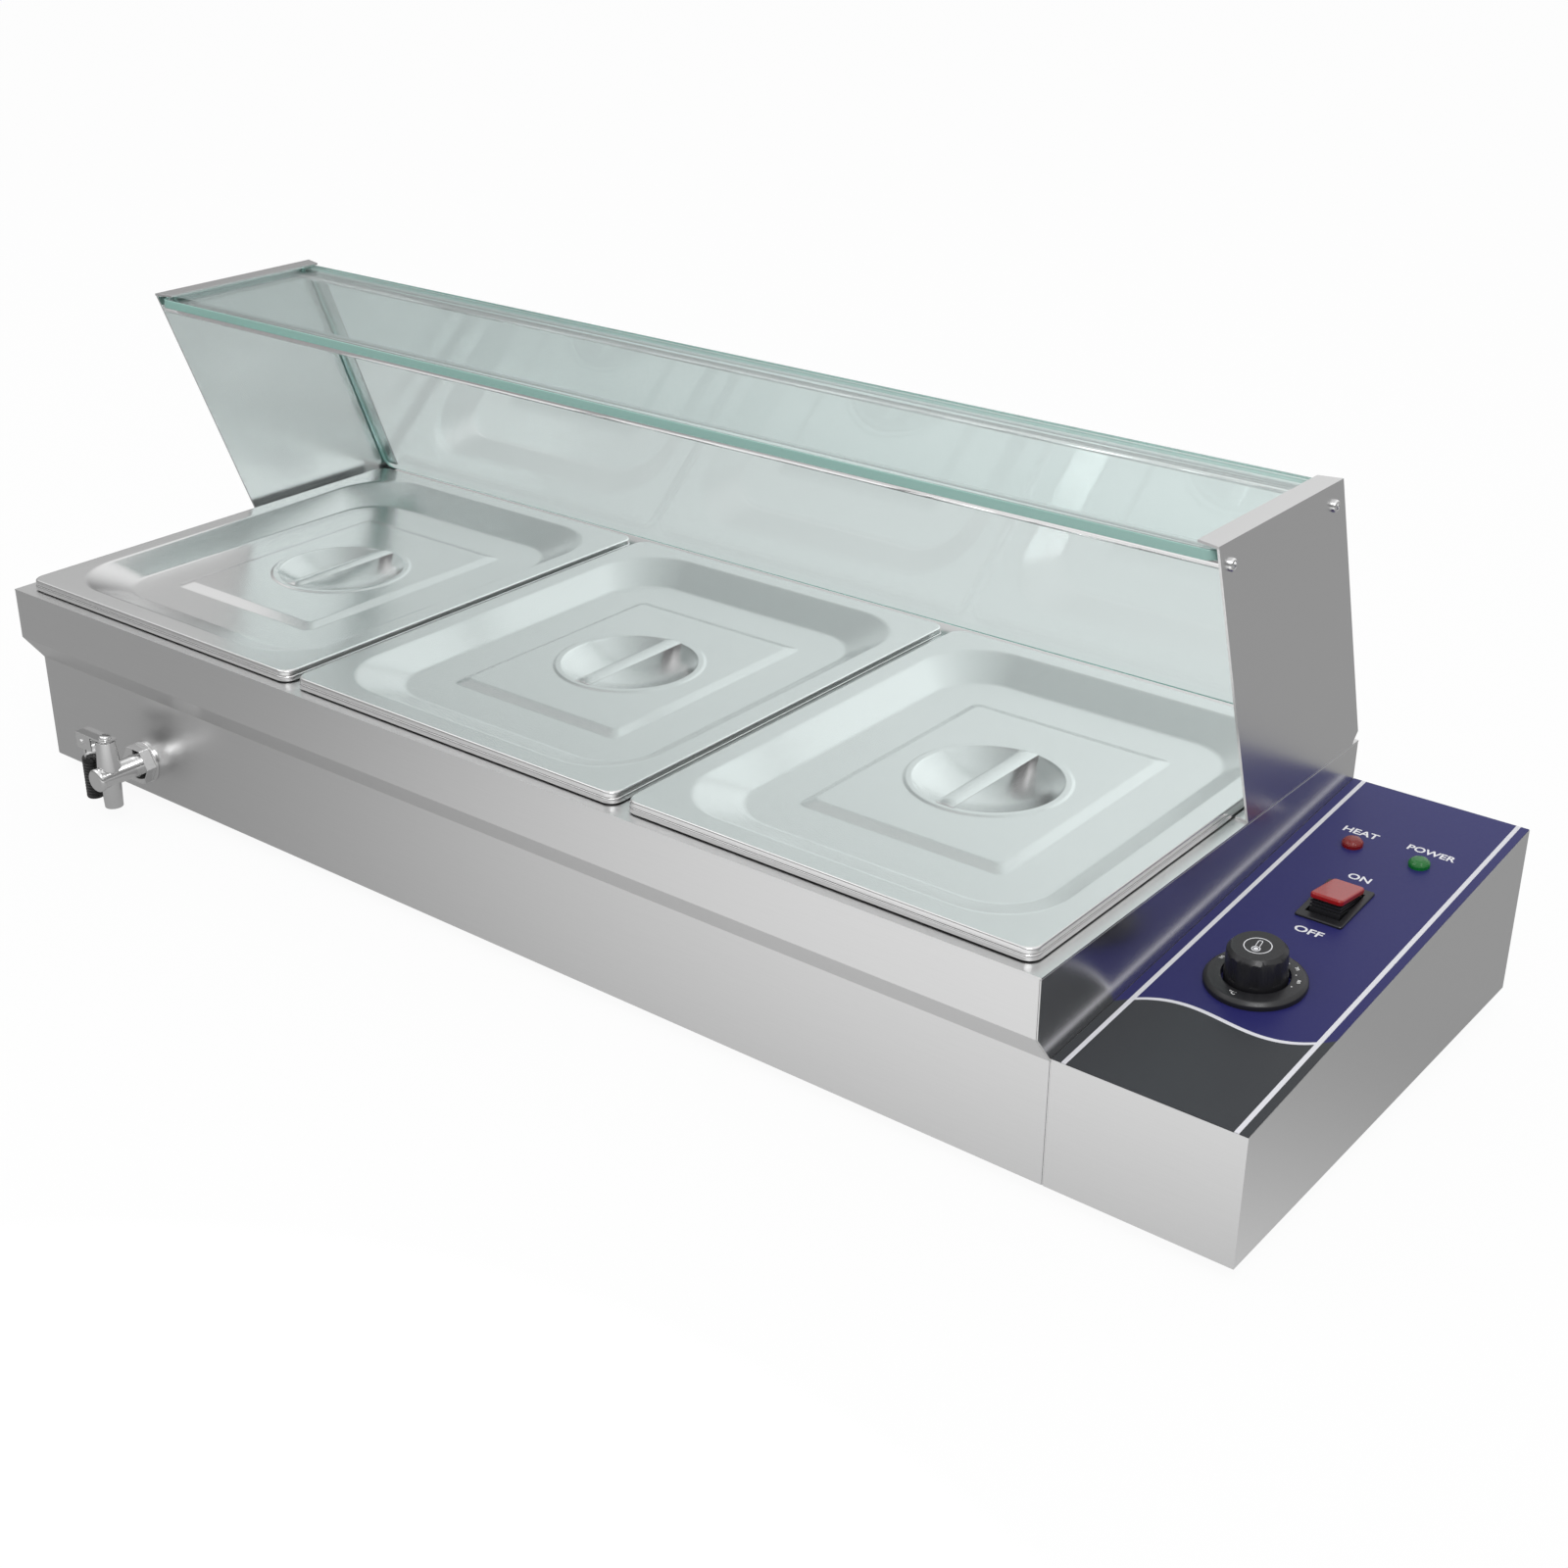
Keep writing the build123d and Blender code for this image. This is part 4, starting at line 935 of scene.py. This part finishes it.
    def build(self) -> None:
        """Builds the lid and its bar."""
        low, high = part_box(f"lid_{self.number}")
        body = f"lid_body_{self.number}"
        shell = skinned(self.rings(), (low + high) / 2, self.wall)
        publish(f"lid_shell_{self.number}", shell, LID_SHEET, body, f"lid_{self.number}", crease=60)
        publish(f"lid_bar_{self.number}", self.bar(), LID_SHEET, body, f"lid_grip_{self.number}")


@dataclass
class Pan:
    """Deep pan with a flat rim and a turned-down lip."""

    number: int
    rim: float = 14.7
    corner_radius: float = 8.0
    lip_gap: float = 0.9
    mouth_radius: float = 42.0
    taper: float = 5.0
    wall: float = 1.0
    lip_fold: tuple[float, int] = (1.6, 4)
    floor_fold: tuple[float, int] = (12.0, 6)
    floor_in: float = 24.0
    floor_sharper: float = 18.0
    throat: float = 11.0

    def build(self) -> None:
        """Builds the pan."""
        low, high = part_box(f"pan_{self.number}")
        half_x, half_y = (high.x - low.x) / 2 / MM, (high.y - low.y) / 2 / MM
        top, deck = high.z / MM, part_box("deck")[1].z / MM
        floor = low.z / MM + self.wall
        draw = (top - floor) * math.tan(math.radians(self.taper))
        mouth_x, mouth_y = half_x - self.rim, half_y - self.rim
        foot_x, foot_y, foot_r = mouth_x - draw, mouth_y - draw, self.mouth_radius - draw
        throat = (mouth_x - 1, mouth_y - 1, self.mouth_radius - 1, top - self.throat)
        lip = blended_path([
            (half_x, half_y, self.corner_radius, deck + self.lip_gap),
            (half_x, half_y, self.corner_radius, top),
            (mouth_x, mouth_y, self.mouth_radius, top),
            throat,
        ], *self.lip_fold)
        sunk = blended_path([
            throat,
            (foot_x, foot_y, foot_r, floor),
            (foot_x - self.floor_in, foot_y - self.floor_in, foot_r - self.floor_sharper, floor),
        ], *self.floor_fold)
        shell = skinned(lip + sunk[1:], (low + high) / 2, self.wall)
        publish(f"pan_shell_{self.number}", shell, PAN_SHEET, f"pan_body_{self.number}",
                f"pan_{self.number}", crease=60)


@dataclass
class Shield:
    """Glass shield with its side panels, rods and screws."""

    fold: float = 0.6
    arris: float = 0.7
    socket: tuple[float, float] = (1.8, 0.7)

    def build(self) -> None:
        """Builds the shield."""
        base = Body.BASE.value
        for side in ("left", "right"):
            node = f"side_panel_{side}"
            publish(f"shield_side_{side}", softened(node, self.fold, 2, 50), SHIELD_SHEET, base, node)
        publish("top_pane", self.pane("top_glass"), CLEAR, base, "top_glass")
        publish("rear_pane", self.pane("rear_glass"), CLEAR, base, "rear_glass")
        publish("pane_rods", softened("glass_rods", 0.4), CHROME, base, "glass_rods")
        publish("rod_socket_screws", self.screws(), CHROME, base, "rod_screws")

    def pane(self, node: str) -> bmesh.types.BMesh:
        """Copies a pane with broken edges and marks them for the finish."""
        mesh = softened(node, self.arris, 2, 50)
        layer = mesh.faces.layers.float.new("edge")
        mesh.normal_update()
        broad = max(mesh.faces, key=lambda face: face.calc_area()).normal.copy()
        for face in mesh.faces:
            face[layer] = 0.0 if abs(face.normal.dot(broad)) > 0.995 else 1.0
        return mesh

    def screws(self) -> bmesh.types.BMesh:
        """Makes the four button heads with their sockets, on the ends of the rods."""
        low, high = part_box("glass_rods")
        radius = (high.z - low.z) / 2
        wide, floor = self.socket
        profile = [
            (0, floor), (wide, floor), (wide, 2.25), (2.0, 2.4), (2.7, 2.35), (3.3, 2.0),
            (3.7, 1.3), (3.75, 0), (0, 0), (0, floor),
        ]
        sides = ((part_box("side_panel_left")[0].x, -1), (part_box("side_panel_right")[1].x, 1))
        heads = []
        for y in (low.y + radius, high.y - radius):
            for x, outward in sides:
                place = facing(Vector((x, y, low.z + radius)), Vector((outward, 0, 0)), Vector((0, 1, 0)))
                heads.append(turned(profile, place, 24))
        return merged(*heads)


@dataclass
class ControlPanel:
    """Printed panel with its dial, knob, rocker switch and pilot lamps."""

    sheet: float = 0.5
    print_rise: float = 0.06
    knob_at: tuple[float, float] = (52.0, 117.5)
    heat_at: tuple[float, float] = (33.4, 271.5)
    power_at: tuple[float, float] = (74.1, 271.5)
    dial_height: float = 5.0
    knob_top: float = 23.0
    icon_radius: float = 7.5
    icon_turn: float = 8.0
    bulb_radius: float = 2.4
    bulb_drop: float = 3.1
    print_line: float = 0.5
    rocker_rest: float = 13.0
    cap_lift: float = 1.62
    lens_radius: float = 6.2
    facets: int = 16
    letters: float = 5.8
    words: tuple[tuple[str, float, tuple[float, float]], ...] = (
        ("HEAT", 21.3, (31.9, 286.4)),
        ("POWER", 28.5, (74.7, 287.3)),
        ("ON", 13.2, (52.6, 240.4)),
        ("OFF", 16.5, (53.6, 175.8)),
    )
    first_number: tuple[float, int] = (170.0, 30)
    number_step: tuple[float, int] = (-31.0, 10)
    numbers: int = 6
    number_ring: float = 22.2
    dot_ring: float = 20.6
    dot_turn: float = -16.0
    dot_radius: float = 0.45

    def __post_init__(self) -> None:
        """Finds the panel's front left corner and its slope."""
        joint = next(j for j in frame["joints"] if j["name"] == "knob_turn")
        self.normal = Vector(joint["axis"])
        self.slope = math.atan2(-self.normal.y, self.normal.z)
        along = Vector((0, math.cos(self.slope), math.sin(self.slope)))
        u, v = self.knob_at
        self.origin = Vector(joint["pos_m"]) - Vector((u * MM, 0, 0)) - along * v * MM

    def spot(self, at: tuple[float, float], rise: float = 0.0, turn: float = 0.0) -> Matrix:
        """Gives the matrix of a place on the panel.

        Args:
            at: Distances from the front left corner, across and up the slope.
            rise: Height over the sheet.
            turn: Turn about the panel's normal in degrees.

        Returns:
            The matrix.
        """
        plane = facing(self.origin, self.normal)
        place = Matrix.Translation((at[0] * MM, at[1] * MM, rise * MM))
        return plane @ place @ Matrix.Rotation(math.radians(turn), 4, "Z")

    def wording(self, text: str, width: float, height: float, place: Matrix,
                bold: float = 0.02) -> bmesh.types.BMesh:
        """Makes raised print of a word.

        Args:
            text: Word.
            width: Width in millimetres, or 0 to keep the letters' own.
            height: Height of the capitals in millimetres.
            place: Matrix of the middle of the word.
            bold: Thickening of the strokes.

        Returns:
            The mesh.
        """
        curve = bpy.data.curves.new("word", "FONT")
        curve.body = text
        curve.offset = bold
        curve.resolution_u = 4
        source = bpy.data.objects.new("word", curve)
        bpy.context.scene.collection.objects.link(source)
        bpy.context.view_layer.update()
        data = bpy.data.meshes.new_from_object(source)
        bpy.data.objects.remove(source)
        mesh = bmesh.new()
        mesh.from_mesh(data)
        bpy.data.meshes.remove(data)
        low = Vector((min(v.co[i] for v in mesh.verts) for i in range(3)))
        high = Vector((max(v.co[i] for v in mesh.verts) for i in range(3)))
        size = high - low
        scale_y = height * MM / size.y
        scale_x = width * MM / size.x if width else scale_y
        bmesh.ops.translate(mesh, verts=mesh.verts, vec=-(low + high) / 2)
        bmesh.ops.scale(mesh, verts=mesh.verts, vec=(scale_x, scale_y, 1))
        raised(mesh, self.print_rise)
        bmesh.ops.transform(mesh, matrix=place, verts=mesh.verts)
        return mesh

    def band(self, radius: float, width: float, place: Matrix) -> bmesh.types.BMesh:
        """Makes a thin printed ring.

        Args:
            radius: Outer radius in millimetres.
            width: Width of the line.
            place: Matrix of its middle.

        Returns:
            The mesh.
        """
        inner, rise = radius - width, self.print_rise
        return turned([(inner, 0), (radius, 0), (radius, rise), (inner, rise), (inner, 0)], place, 48)

    def disc(self, radius: float, place: Matrix) -> bmesh.types.BMesh:
        """Makes a thin printed dot."""
        rise = self.print_rise
        return turned([(0, 0), (radius, 0), (radius, rise), (0, rise)], place, 16)

    def build_print(self) -> None:
        """Builds the film and its words."""
        base = Body.BASE.value
        film = PanelPrint("panel_print", "panel_print", self.origin.freeze(), self.slope)
        redress(film, "panel_overlay")
        words = [self.wording(text, width, self.letters, self.spot(at, self.sheet))
                 for text, width, at in self.words]
        publish("panel_words", merged(*words), WHITE_PRINT, base)

    def build_dial(self) -> None:
        """Builds the scale ring and its marks."""
        u, v = self.knob_at
        ring = turned([
            (18.2, self.sheet), (27.5, self.sheet), (27.5, 2.6), (27.1, 3.3), (25.6, 4.7),
            (24.9, self.dial_height), (19.4, self.dial_height + 0.5), (18.4, self.dial_height + 0.3),
            (18.2, self.dial_height - 0.2), (18.2, self.sheet),
        ], self.spot(self.knob_at), 96)
        publish("dial_ring", ring, BLACK, Body.BASE.value, "scale_ring")
        marks = [self.wording("°C", 0, 3.0, self.spot((u - 2.3, v - 21.8), self.dial_height + 0.3))]
        upright = Matrix.Rotation(math.radians(-90), 4, "Z")
        (first_angle, first), (step_angle, step) = self.first_number, self.number_step
        angles = [first_angle + step_angle * i for i in range(self.numbers)]
        for i, angle in enumerate(angles):
            place = self.dial_spot(angle, self.number_ring) @ upright
            marks.append(self.wording(str(first + step * i), 0, 2.4, place))
        for angle in angles:
            marks.append(self.disc(self.dot_radius, self.dial_spot(angle + self.dot_turn, self.dot_ring)))
        publish("dial_marks", merged(*marks), DIAL_PRINT, Body.BASE.value)

    def dial_spot(self, angle: float, radius: float) -> Matrix:
        """Gives the matrix of a mark on the ring, with X pointing outwards.

        Args:
            angle: Angle from +X in degrees.
            radius: Distance from the knob's axis.

        Returns:
            The matrix.
        """
        u, v = self.knob_at
        turn = math.radians(angle)
        rise = self.dial_height + 0.5 * (24.9 - radius) / 5.5
        return self.spot((u + radius * math.cos(turn), v + radius * math.sin(turn)), rise, angle)

    def build_knob(self) -> None:
        """Builds the fluted knob with its round badge and pointer."""
        body = Body.KNOB.value
        publish("knob_shell", softened("knob", 0.5, 3, 40), BLACK, body, "knob")
        redress(BRASS, "thermostat_shaft")
        top = self.spot(self.knob_at, self.knob_top, self.icon_turn)
        stem = [(-1.3, -1.2), (1.3, -1.2), (1.3, 4.4), (0.9, 5.2), (-0.9, 5.2), (-1.3, 4.4)]
        bulb = top @ Matrix.Translation((0, -self.bulb_drop * MM, 0))
        badge = merged(
            self.band(self.icon_radius, self.print_line, top),
            self.band(self.bulb_radius, self.print_line, bulb),
            self.disc(1.3, bulb),
            self.outline_of(stem, 0.45, top),
        )
        publish("knob_badge", badge, WHITE_PRINT, body)

    def outline_of(self, corners: list[tuple[float, float]], width: float,
                   place: Matrix) -> bmesh.types.BMesh:
        """Makes a printed line round a shape.

        Args:
            corners: Corners of the shape in millimetres.
            width: Width of the line.
            place: Matrix of the shape.

        Returns:
            The mesh.
        """
        mesh = bmesh.new()
        face = mesh.faces.new([mesh.verts.new((x * MM, y * MM, 0)) for x, y in corners])
        face.normal_update()
        bmesh.ops.inset_individual(mesh, faces=[face], thickness=width * MM)
        bmesh.ops.delete(mesh, geom=[face], context="FACES_ONLY")
        raised(mesh, self.print_rise)
        bmesh.ops.transform(mesh, matrix=place, verts=mesh.verts)
        return mesh

    def build_switch(self) -> None:
        """Builds the rocker switch."""
        publish("switch_bezel", softened("switch_body", 0.3), BLACK, Body.BASE.value, "switch_body")
        body = Body.ROCKER.value
        publish("rocker_skirt", softened("switch_rocker", 0.15, 1), BLACK, body, "switch_rocker")
        publish("rocker_cap", softened("switch_cap", 0.3, 2, 50), RED, body, "switch_cap")
        low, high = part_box("switch_cap")
        tilt = self.slope - math.radians(self.rocker_rest)
        normal = Vector((0, -math.sin(tilt), math.cos(tilt)))
        place = facing((low + high) / 2 + normal * self.cap_lift * MM, normal)
        stroke = [(-0.3, 0.4), (0.3, 0.4), (0.3, 2.4), (-0.3, 2.4)]
        mark = merged(self.band(2.7, 0.6, place), prism(stroke, self.print_rise, place))
        publish("rocker_mark", mark, WHITE_PRINT, body)

    def build_lamps(self) -> None:
        """Builds the two faceted pilot lenses."""
        for name, at, finish in (("heat", self.heat_at, RED_LENS), ("power", self.power_at, GREEN_LENS)):
            radius = self.lens_radius
            lens = turned([
                (0, self.sheet), (radius, self.sheet), (radius, 2.4), (radius - 0.5, 3.2),
                (radius - 1.6, 4.2), (radius - 3.4, 4.8), (0, 5.0),
            ], self.spot(at), self.facets)
            publish(f"{name}_lens", lens, finish, Body.BASE.value, f"{name}_lamp_lens", crease=12)

    def build(self) -> None:
        """Builds the whole panel."""
        self.build_print()
        self.build_dial()
        self.build_knob()
        self.build_switch()
        self.build_lamps()


@dataclass
class DrainTap:
    """Chromed drain tap with a folded lever and a black grip."""

    edge: float = 0.3
    lever_edge: float = 0.2
    rib_pitch: float = 2.2

    def build(self) -> None:
        """Builds the tap."""
        base, lever = Body.BASE.value, Body.LEVER.value
        for node in ("tap_body", "tap_nut", "tap_washer", "tap_end_cap", "tap_back_nut"):
            publish(node + "_chrome", softened(node, self.edge, 2, 40), CHROME, base, node)
        for node in ("tap_plug", "tap_lever", "tap_screw"):
            publish(node + "_chrome", softened(node, self.lever_edge, 2, 40), CHROME, lever, node)
        publish("tap_grip_sleeve", self.sleeve(), GRIP_BLACK, lever, "tap_grip")

    def sleeve(self) -> bmesh.types.BMesh:
        """Makes the ribbed sleeve."""
        low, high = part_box("tap_grip")
        radius = (high.x - low.x) / 2 / MM
        length = (high.z - low.z) / MM
        foot = Vector(((low.x + high.x) / 2, (low.y + high.y) / 2, low.z))
        profile = [(0, 0), (radius - 1.2, 0), (radius - 0.35, 0.35), (radius, 1.2)]
        height = 2.4
        while height < length - 4:
            profile += [(radius, height), (radius - 0.5, height + 0.4), (radius - 0.5, height + 1.0),
                        (radius, height + 1.4)]
            height += self.rib_pitch
        profile += [(radius, length - 1.2), (radius - 0.35, length - 0.35), (radius - 1.2, length)]
        profile.append((0, length))
        return turned(profile, Matrix.Translation(foot), 32)


# ---- studio -------------------------------------------------------------------------


@dataclass
class Studio:
    """Pale floor, soft light and camera."""

    camera_at: Colour = (0.83968, -0.97690, 0.69345)
    azimuth: float = 0.66497
    elevation: float = 0.45138
    roll: float = 0.00536
    lens: float = 50.357
    floor_size: float = 12.0
    floor_glow: float = 0.93
    pool_at: Colour = (0.35, -0.9, 0.0)
    pool_light: float = 1.05
    pool_dark: float = 0.36
    pool_reach: tuple[float, float] = (0.46, 1.04)
    sky_low: float = 0.22
    sky_high: float = 1.0
    sky_reach: tuple[float, float] = (0.05, 0.7)
    sky_through: tuple[float, float, float] = (0.53, 0.73, 0.70)
    rear_light: float = 0.45
    rear_reach: tuple[float, float] = (0.70, 0.90)
    floor_through: tuple[float, float] = (0.56, 0.80)
    floor_through_reach: tuple[float, float] = (-1.2, 0.1)
    lights: tuple[tuple[str, Colour, Colour, float, float], ...] = (
        ("key", (1.3, -1.5, 2.2), (0.2, 0, 0.1), 1.0, 22.0),
        ("fill", (-1.6, -1.2, 2.2), (-0.2, 0, 0.1), 1.4, 5.0),
    )

    def build(self) -> None:
        """Builds floor, light and camera."""
        bpy.context.scene.view_settings.view_transform = "Standard"
        self.build_floor()
        self.build_light()
        self.build_camera()

    def seen(self, graph: Graph, light: Socket, through: Socket) -> Socket:
        """Keeps a surround white to the camera and gives it its own brightness through glass.

        Args:
            graph: Tree to build in.
            light: Brightness for every other ray.
            through: Brightness for a ray that came out of glass.

        Returns:
            The brightness.
        """
        ray = graph.add("LightPath")
        choice = graph.add("Mix", data_type="FLOAT")
        graph.link(ray.outputs["Is Transmission Ray"], choice.inputs[0])
        graph.link(light, choice.inputs[2])
        graph.link(through, choice.inputs[3])
        return graph.maths("MAXIMUM", ray.outputs["Is Camera Ray"], choice.outputs[0])

    def build_floor(self) -> None:
        """Builds a plain pale floor."""
        mesh = bmesh.new()
        bmesh.ops.create_grid(mesh, x_segments=1, y_segments=1, size=self.floor_size / 2)
        data = bpy.data.meshes.new("floor")
        mesh.to_mesh(data)
        mesh.free()
        floor = bpy.data.objects.new("floor", data)
        bpy.context.scene.collection.objects.link(floor)
        graph = Paint("floor_paint")
        graph.fix(Base_Color=(0.8, 0.8, 0.8, 1), Roughness=0.9, Specular_IOR_Level=0.0)
        where = graph.add("TexCoord").outputs["Object"]
        reach = graph.add("VectorMath", operation="DISTANCE")
        graph.link(where, reach.inputs[0])
        reach.inputs[1].default_value = self.pool_at
        pool = graph.spread(reach.outputs["Value"], self.pool_light, self.pool_dark, *self.pool_reach)
        pool.node.interpolation_type = "SMOOTHSTEP"
        glow = graph.add("Emission")
        along = graph.add("SeparateXYZ")
        graph.link(where, along.inputs[0])
        through = graph.spread(along.outputs[0], *self.floor_through, *self.floor_through_reach)
        graph.link(self.seen(graph, pool, through), glow.inputs["Strength"])
        either = graph.add("MixShader")
        either.inputs[0].default_value = self.floor_glow
        graph.link(graph.shader.outputs[0], either.inputs[1])
        graph.link(glow.outputs[0], either.inputs[2])
        graph.link(either.outputs[0], graph.output.inputs["Surface"])
        data.materials.append(graph.material)

    def build_light(self) -> None:
        """Builds the surround and the soft lights."""
        world = bpy.data.worlds.new("surround")
        world.use_nodes = True
        bpy.context.scene.world = world
        graph = Graph(world.node_tree)
        split = graph.add("SeparateXYZ")
        graph.link(graph.add("TexCoord").outputs["Generated"], split.inputs[0])
        sky = graph.spread(split.outputs[2], self.sky_low, self.sky_high, *self.sky_reach)
        sky.node.interpolation_type = "SMOOTHSTEP"
        rear = graph.spread(split.outputs[1], 0.0, self.rear_light, *self.rear_reach)
        across, back, level = self.sky_through
        slant = graph.maths("MULTIPLY_ADD", split.outputs[0], across, level)
        slant = graph.maths("MULTIPLY_ADD", split.outputs[1], back, slant)
        through = graph.maths("MAXIMUM", slant, self.sky_low)
        ground = world.node_tree.nodes["Background"]
        graph.link(self.seen(graph, graph.maths("ADD", sky, rear), through), ground.inputs["Strength"])
        ground.inputs["Color"].default_value = (1, 1, 1, 1)
        for name, place, target, size, power in self.lights:
            data = bpy.data.lights.new(name, "AREA")
            data.size = size
            data.energy = power
            lamp = bpy.data.objects.new(name, data)
            lamp.location = place
            lamp.rotation_euler = (Vector(target) - Vector(place)).to_track_quat("-Z", "Y").to_euler()
            bpy.context.scene.collection.objects.link(lamp)

    def build_camera(self) -> None:
        """Builds the camera and makes it the scene's own."""
        data = bpy.data.cameras.new("camera")
        data.lens = self.lens
        data.sensor_width = 36.0
        camera = bpy.data.objects.new("camera", data)
        turn, tilt = self.azimuth, self.elevation
        ahead = math.cos(tilt)
        forward = Vector((-math.sin(turn) * ahead, math.cos(turn) * ahead, -math.sin(tilt)))
        right = Vector((math.cos(turn), math.sin(turn), 0))
        up = right.cross(forward)
        across = right * math.cos(self.roll) + up * math.sin(self.roll)
        upright = up * math.cos(self.roll) - right * math.sin(self.roll)
        camera.matrix_world = (Matrix.Translation(self.camera_at)
                               @ Matrix((across, upright, -forward)).transposed().to_4x4())
        bpy.context.scene.collection.objects.link(camera)
        bpy.context.scene.camera = camera


def main() -> None:
    """Builds every sub-assembly in order."""
    logging.basicConfig(level=logging.INFO, format="%(name)s %(message)s")
    Casing().build()
    for number in (1, 2, 3):
        Pan(number).build()
        Lid(number).build()
    Shield().build()
    ControlPanel().build()
    DrainTap().build()
    Studio().build()


if __name__ == "__main__":
    main()
